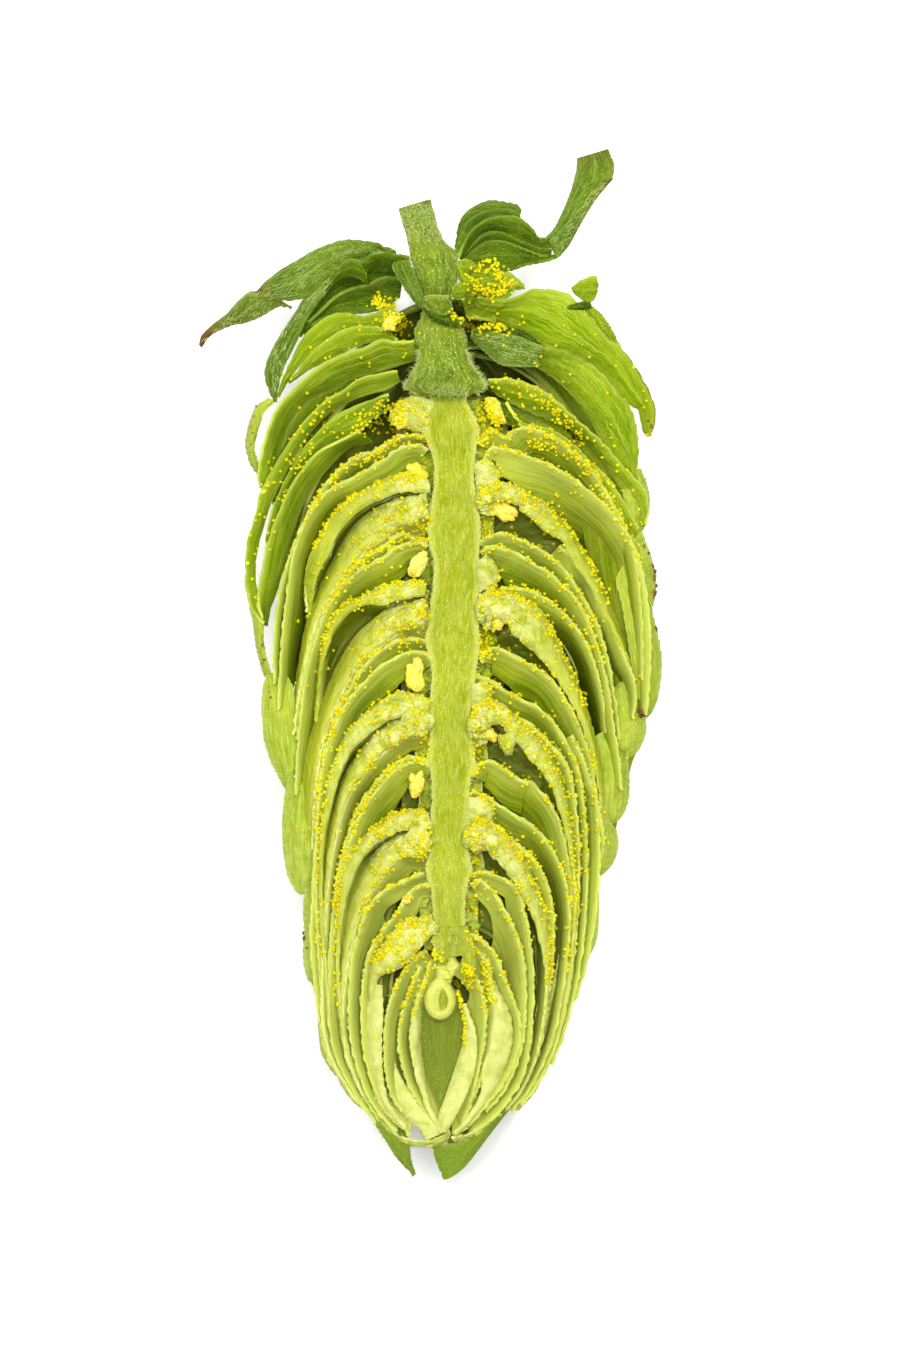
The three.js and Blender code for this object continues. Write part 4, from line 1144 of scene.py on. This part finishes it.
# Withered specks on the outer scales
withered = Bundle("withered_specks", dirt_look)
SPECKS = [
    ("648,545 652,565 655,585 656,602 657,622 660,640", 26, 0.10),
    ("640,712 646,716 650,718 648,724", 14, 0.13),
    ("650,420 655,430 652,440", 8, 0.07),
    ("262,640 264,670 270,700", 8, 0.06),
    ("303,930 305,945 307,952", 8, 0.11),
    ("256,394 254,420 250,450", 8, 0.05),
    ("470,1128 463,1135", 6, 0.07),
]
for pairs, count, size in SPECKS:
    for x, y in plan(path_through(pairs, 60)[rng.integers(0, 60, count)]) + rng.normal(0, 0.07, (count, 2)):
        place, _ = seat(x, y)
        if place is not None:
            scale = size * rng.uniform(0.4, 1.2)
            blob(withered, place, (scale * 1.4, scale, 0.5 * scale), 0.3, rng.uniform(0, 3), 8)

# Hairs
HAIR_FACES = [np.array(part) for part in ([[0, 2, 1]], [[0, 1, 4, 3], [1, 2, 5, 4], [2, 0, 3, 5]],
                                          [[3, 4, 6], [4, 5, 6], [5, 3, 6]])]
hairs = Bundle("hairs", hair_look)


def hair(x_px, y_px, way, low, high, radius=0.013):
    """A short slim spike on the tissue at a place of the view, low to high long, which way() points."""
    root, _ = seat(*plan((x_px, y_px)))
    if root is None:
        return
    way = way()
    length = rng.uniform(low, high)
    way = way / np.linalg.norm(way)
    side = np.cross(way, (0.3, 0.5, 0.81))
    side /= np.linalg.norm(side)
    other = np.cross(way, side)
    ring = radius * np.array([side * math.cos(a) + other * math.sin(a) for a in (0, 2.094, 4.189)])
    bent = root + way * length * 0.55 + rng.normal(0, 0.12, 3) * length
    tip = bent + (way + rng.normal(0, 0.3, 3)) * length * 0.45
    hairs.add(np.array([*(root + ring), *(bent + 0.7 * ring), tip]), HAIR_FACES,
              {"tone": rng.random(), "edge": 0.3})


STRIG_EDGES = (strig_y, strig_left, strig_right)
STALK_EDGES = (stalk_y, stalk_left, stalk_right)
# Along both margins of the stem, pointing out
for (y_values, left, right), count, top, end, length in [(STRIG_EDGES, 1500, 392, 955, 0.24),
                                                         (STALK_EDGES, 420, 350, 394, 0.3),
                                                         (STALK_EDGES, 260, 205, 345, 0.14)]:
    for _ in range(count):
        side = rng.choice([-1, 1])
        y_px = rng.uniform(top, end)
        x_px = np.interp(y_px, y_values, left if side < 0 else right) - side * rng.uniform(0, 3)
        hair(x_px, y_px,
             lambda: np.array([side * rng.uniform(0.3, 1), rng.normal(0, 0.6), rng.uniform(0, 0.7)]),
             0.4 * length, 1.2 * length)
# All over the stem
for (y_values, left, right), count, top, end, length, tilt in [(STRIG_EDGES, 1300, 392, 950, 0.13, 0.4),
                                                               (STALK_EDGES, 700, 205, 242, 0.2, 0.5),
                                                               (STALK_EDGES, 380, 242, 395, 0.09, 1.0),
                                                               (STRIG_EDGES, 240, 384, 398, 0.25, 0.8)]:
    for _ in range(count):
        y_px = rng.uniform(top, end)
        x_px = rng.uniform(np.interp(y_px, y_values, left), np.interp(y_px, y_values, right))
        hair(x_px, y_px, lambda: np.array([rng.normal(0, 0.6), rng.normal(0, 0.6), tilt]), 0.5 * length,
             1.3 * length)
# Lengthwise on the top scales, between two lines of the view
DOWNY = [
    ("385,252 357,245 330,250 300,265 270,285 250,296", "380,254 352,262 330,274 310,288 290,297 262,296",
     420),
    ("250,294 230,315 205,340", "290,306 245,320 208,338", 160),
    ("330,276 300,310 272,352 272,390", "336,280 308,314 288,356 276,392", 200),
    ("474,334 510,333 540,348", "480,340 505,360 536,364", 200),
    ("552,242 570,220 600,184", "560,254 578,226 606,182", 160),
]
for first, second, count in DOWNY:
    near, away = path_through(first, 100), path_through(second, 100)
    for share, at in zip(rng.random(count), rng.integers(0, 100, count)):
        lengthwise = np.array([*(near[min(at + 1, 99)] - near[max(at - 1, 0)]) * (1, -1), 0.0])
        lengthwise /= np.linalg.norm(lengthwise)
        hair(*(near[at] * share + away[at] * (1 - share)),
             lambda: lengthwise + rng.normal(0, 0.3, 3) + (0, 0, 0.25), 0.15, 0.4, 0.010)
for tier in LEFT_TIERS:
    for pairs, count in zip(tier, (26, 40)):
        for x_px, y_px in path_through(pairs, 200)[rng.integers(0, 130, count)]:
            hair(x_px, y_px, lambda: rng.normal(0, 0.5, 3) + (-0.4, 0.6, 0.5), 0.08, 0.2)

for bundle in (*grown, hairs, withered):
    if bundle is not green:
        made = bundle.build()
    if bundle is strig:
        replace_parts(made, "hop_cone")
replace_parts(green.build(), "leaf_left", "leaf_right")

# Floor, light and camera
WIDE = 1.5
floor_mesh = bpy.data.meshes.new("floor")
floor_corners = [(-WIDE, -WIDE, 0), (WIDE, -WIDE, 0), (WIDE, WIDE, 0), (-WIDE, WIDE, 0)]
floor_mesh.from_pydata(floor_corners, [], [(0, 1, 2, 3)])
nodes = Nodes("pale_floor")
matt = nodes.put("ShaderNodeBsdfPrincipled", Base_Color=(0.9, 0.9, 0.9, 1), Roughness=0.9)
shine = nodes.put("ShaderNodeEmission", Color=(1, 1, 1, 1), Strength=0.15)
nodes.put("ShaderNodeOutputMaterial", Surface=nodes.put("ShaderNodeAddShader", _0=matt, _1=shine))
floor_mesh.materials.append(nodes.material)
floor = bpy.data.objects.new("floor", floor_mesh)
bpy.context.scene.collection.objects.link(floor)

world = bpy.data.worlds.new("studio")
world.use_nodes = True
sky = world.node_tree.nodes["Background"].inputs
sky["Color"].default_value = (1, 1, 1, 1)
sky["Strength"].default_value = 0.36
bpy.context.scene.world = world
bpy.context.scene.view_settings.view_transform = "Standard"


def softbox(name, place, size, power):
    """A square lamp that faces the cone."""
    light = bpy.data.lights.new(name, "AREA")
    light.size = size
    light.energy = power
    lamp = bpy.data.objects.new(name, light)
    lamp.location = place
    bpy.context.scene.collection.objects.link(lamp)
    lamp.rotation_mode = "QUATERNION"
    lamp.rotation_quaternion = (-Vector(place)).to_track_quat("-Z", "Y")


softbox("overhead", (0.01, 0.02, 0.50), 0.16, 2.1)
softbox("key", (-0.16, 0.18, 0.36), 0.12, 0.75)
softbox("glint", (0.10, 0.14, 0.42), 0.025, 0.8)

DISTANCE = 0.6
VIEW_CENTRE, VIEW_HEIGHT = (450, 676.5), 1353
camera_data = bpy.data.cameras.new("camera")
camera_data.lens = camera_data.sensor_width * DISTANCE / (VIEW_HEIGHT * PIXEL * MM)
camera_data.clip_start, camera_data.clip_end = 0.05, 10
camera = bpy.data.objects.new("camera", camera_data)
bpy.context.scene.collection.objects.link(camera)
camera.location = (*plan(VIEW_CENTRE) * MM, CUT * MM + DISTANCE)
bpy.context.scene.camera = camera
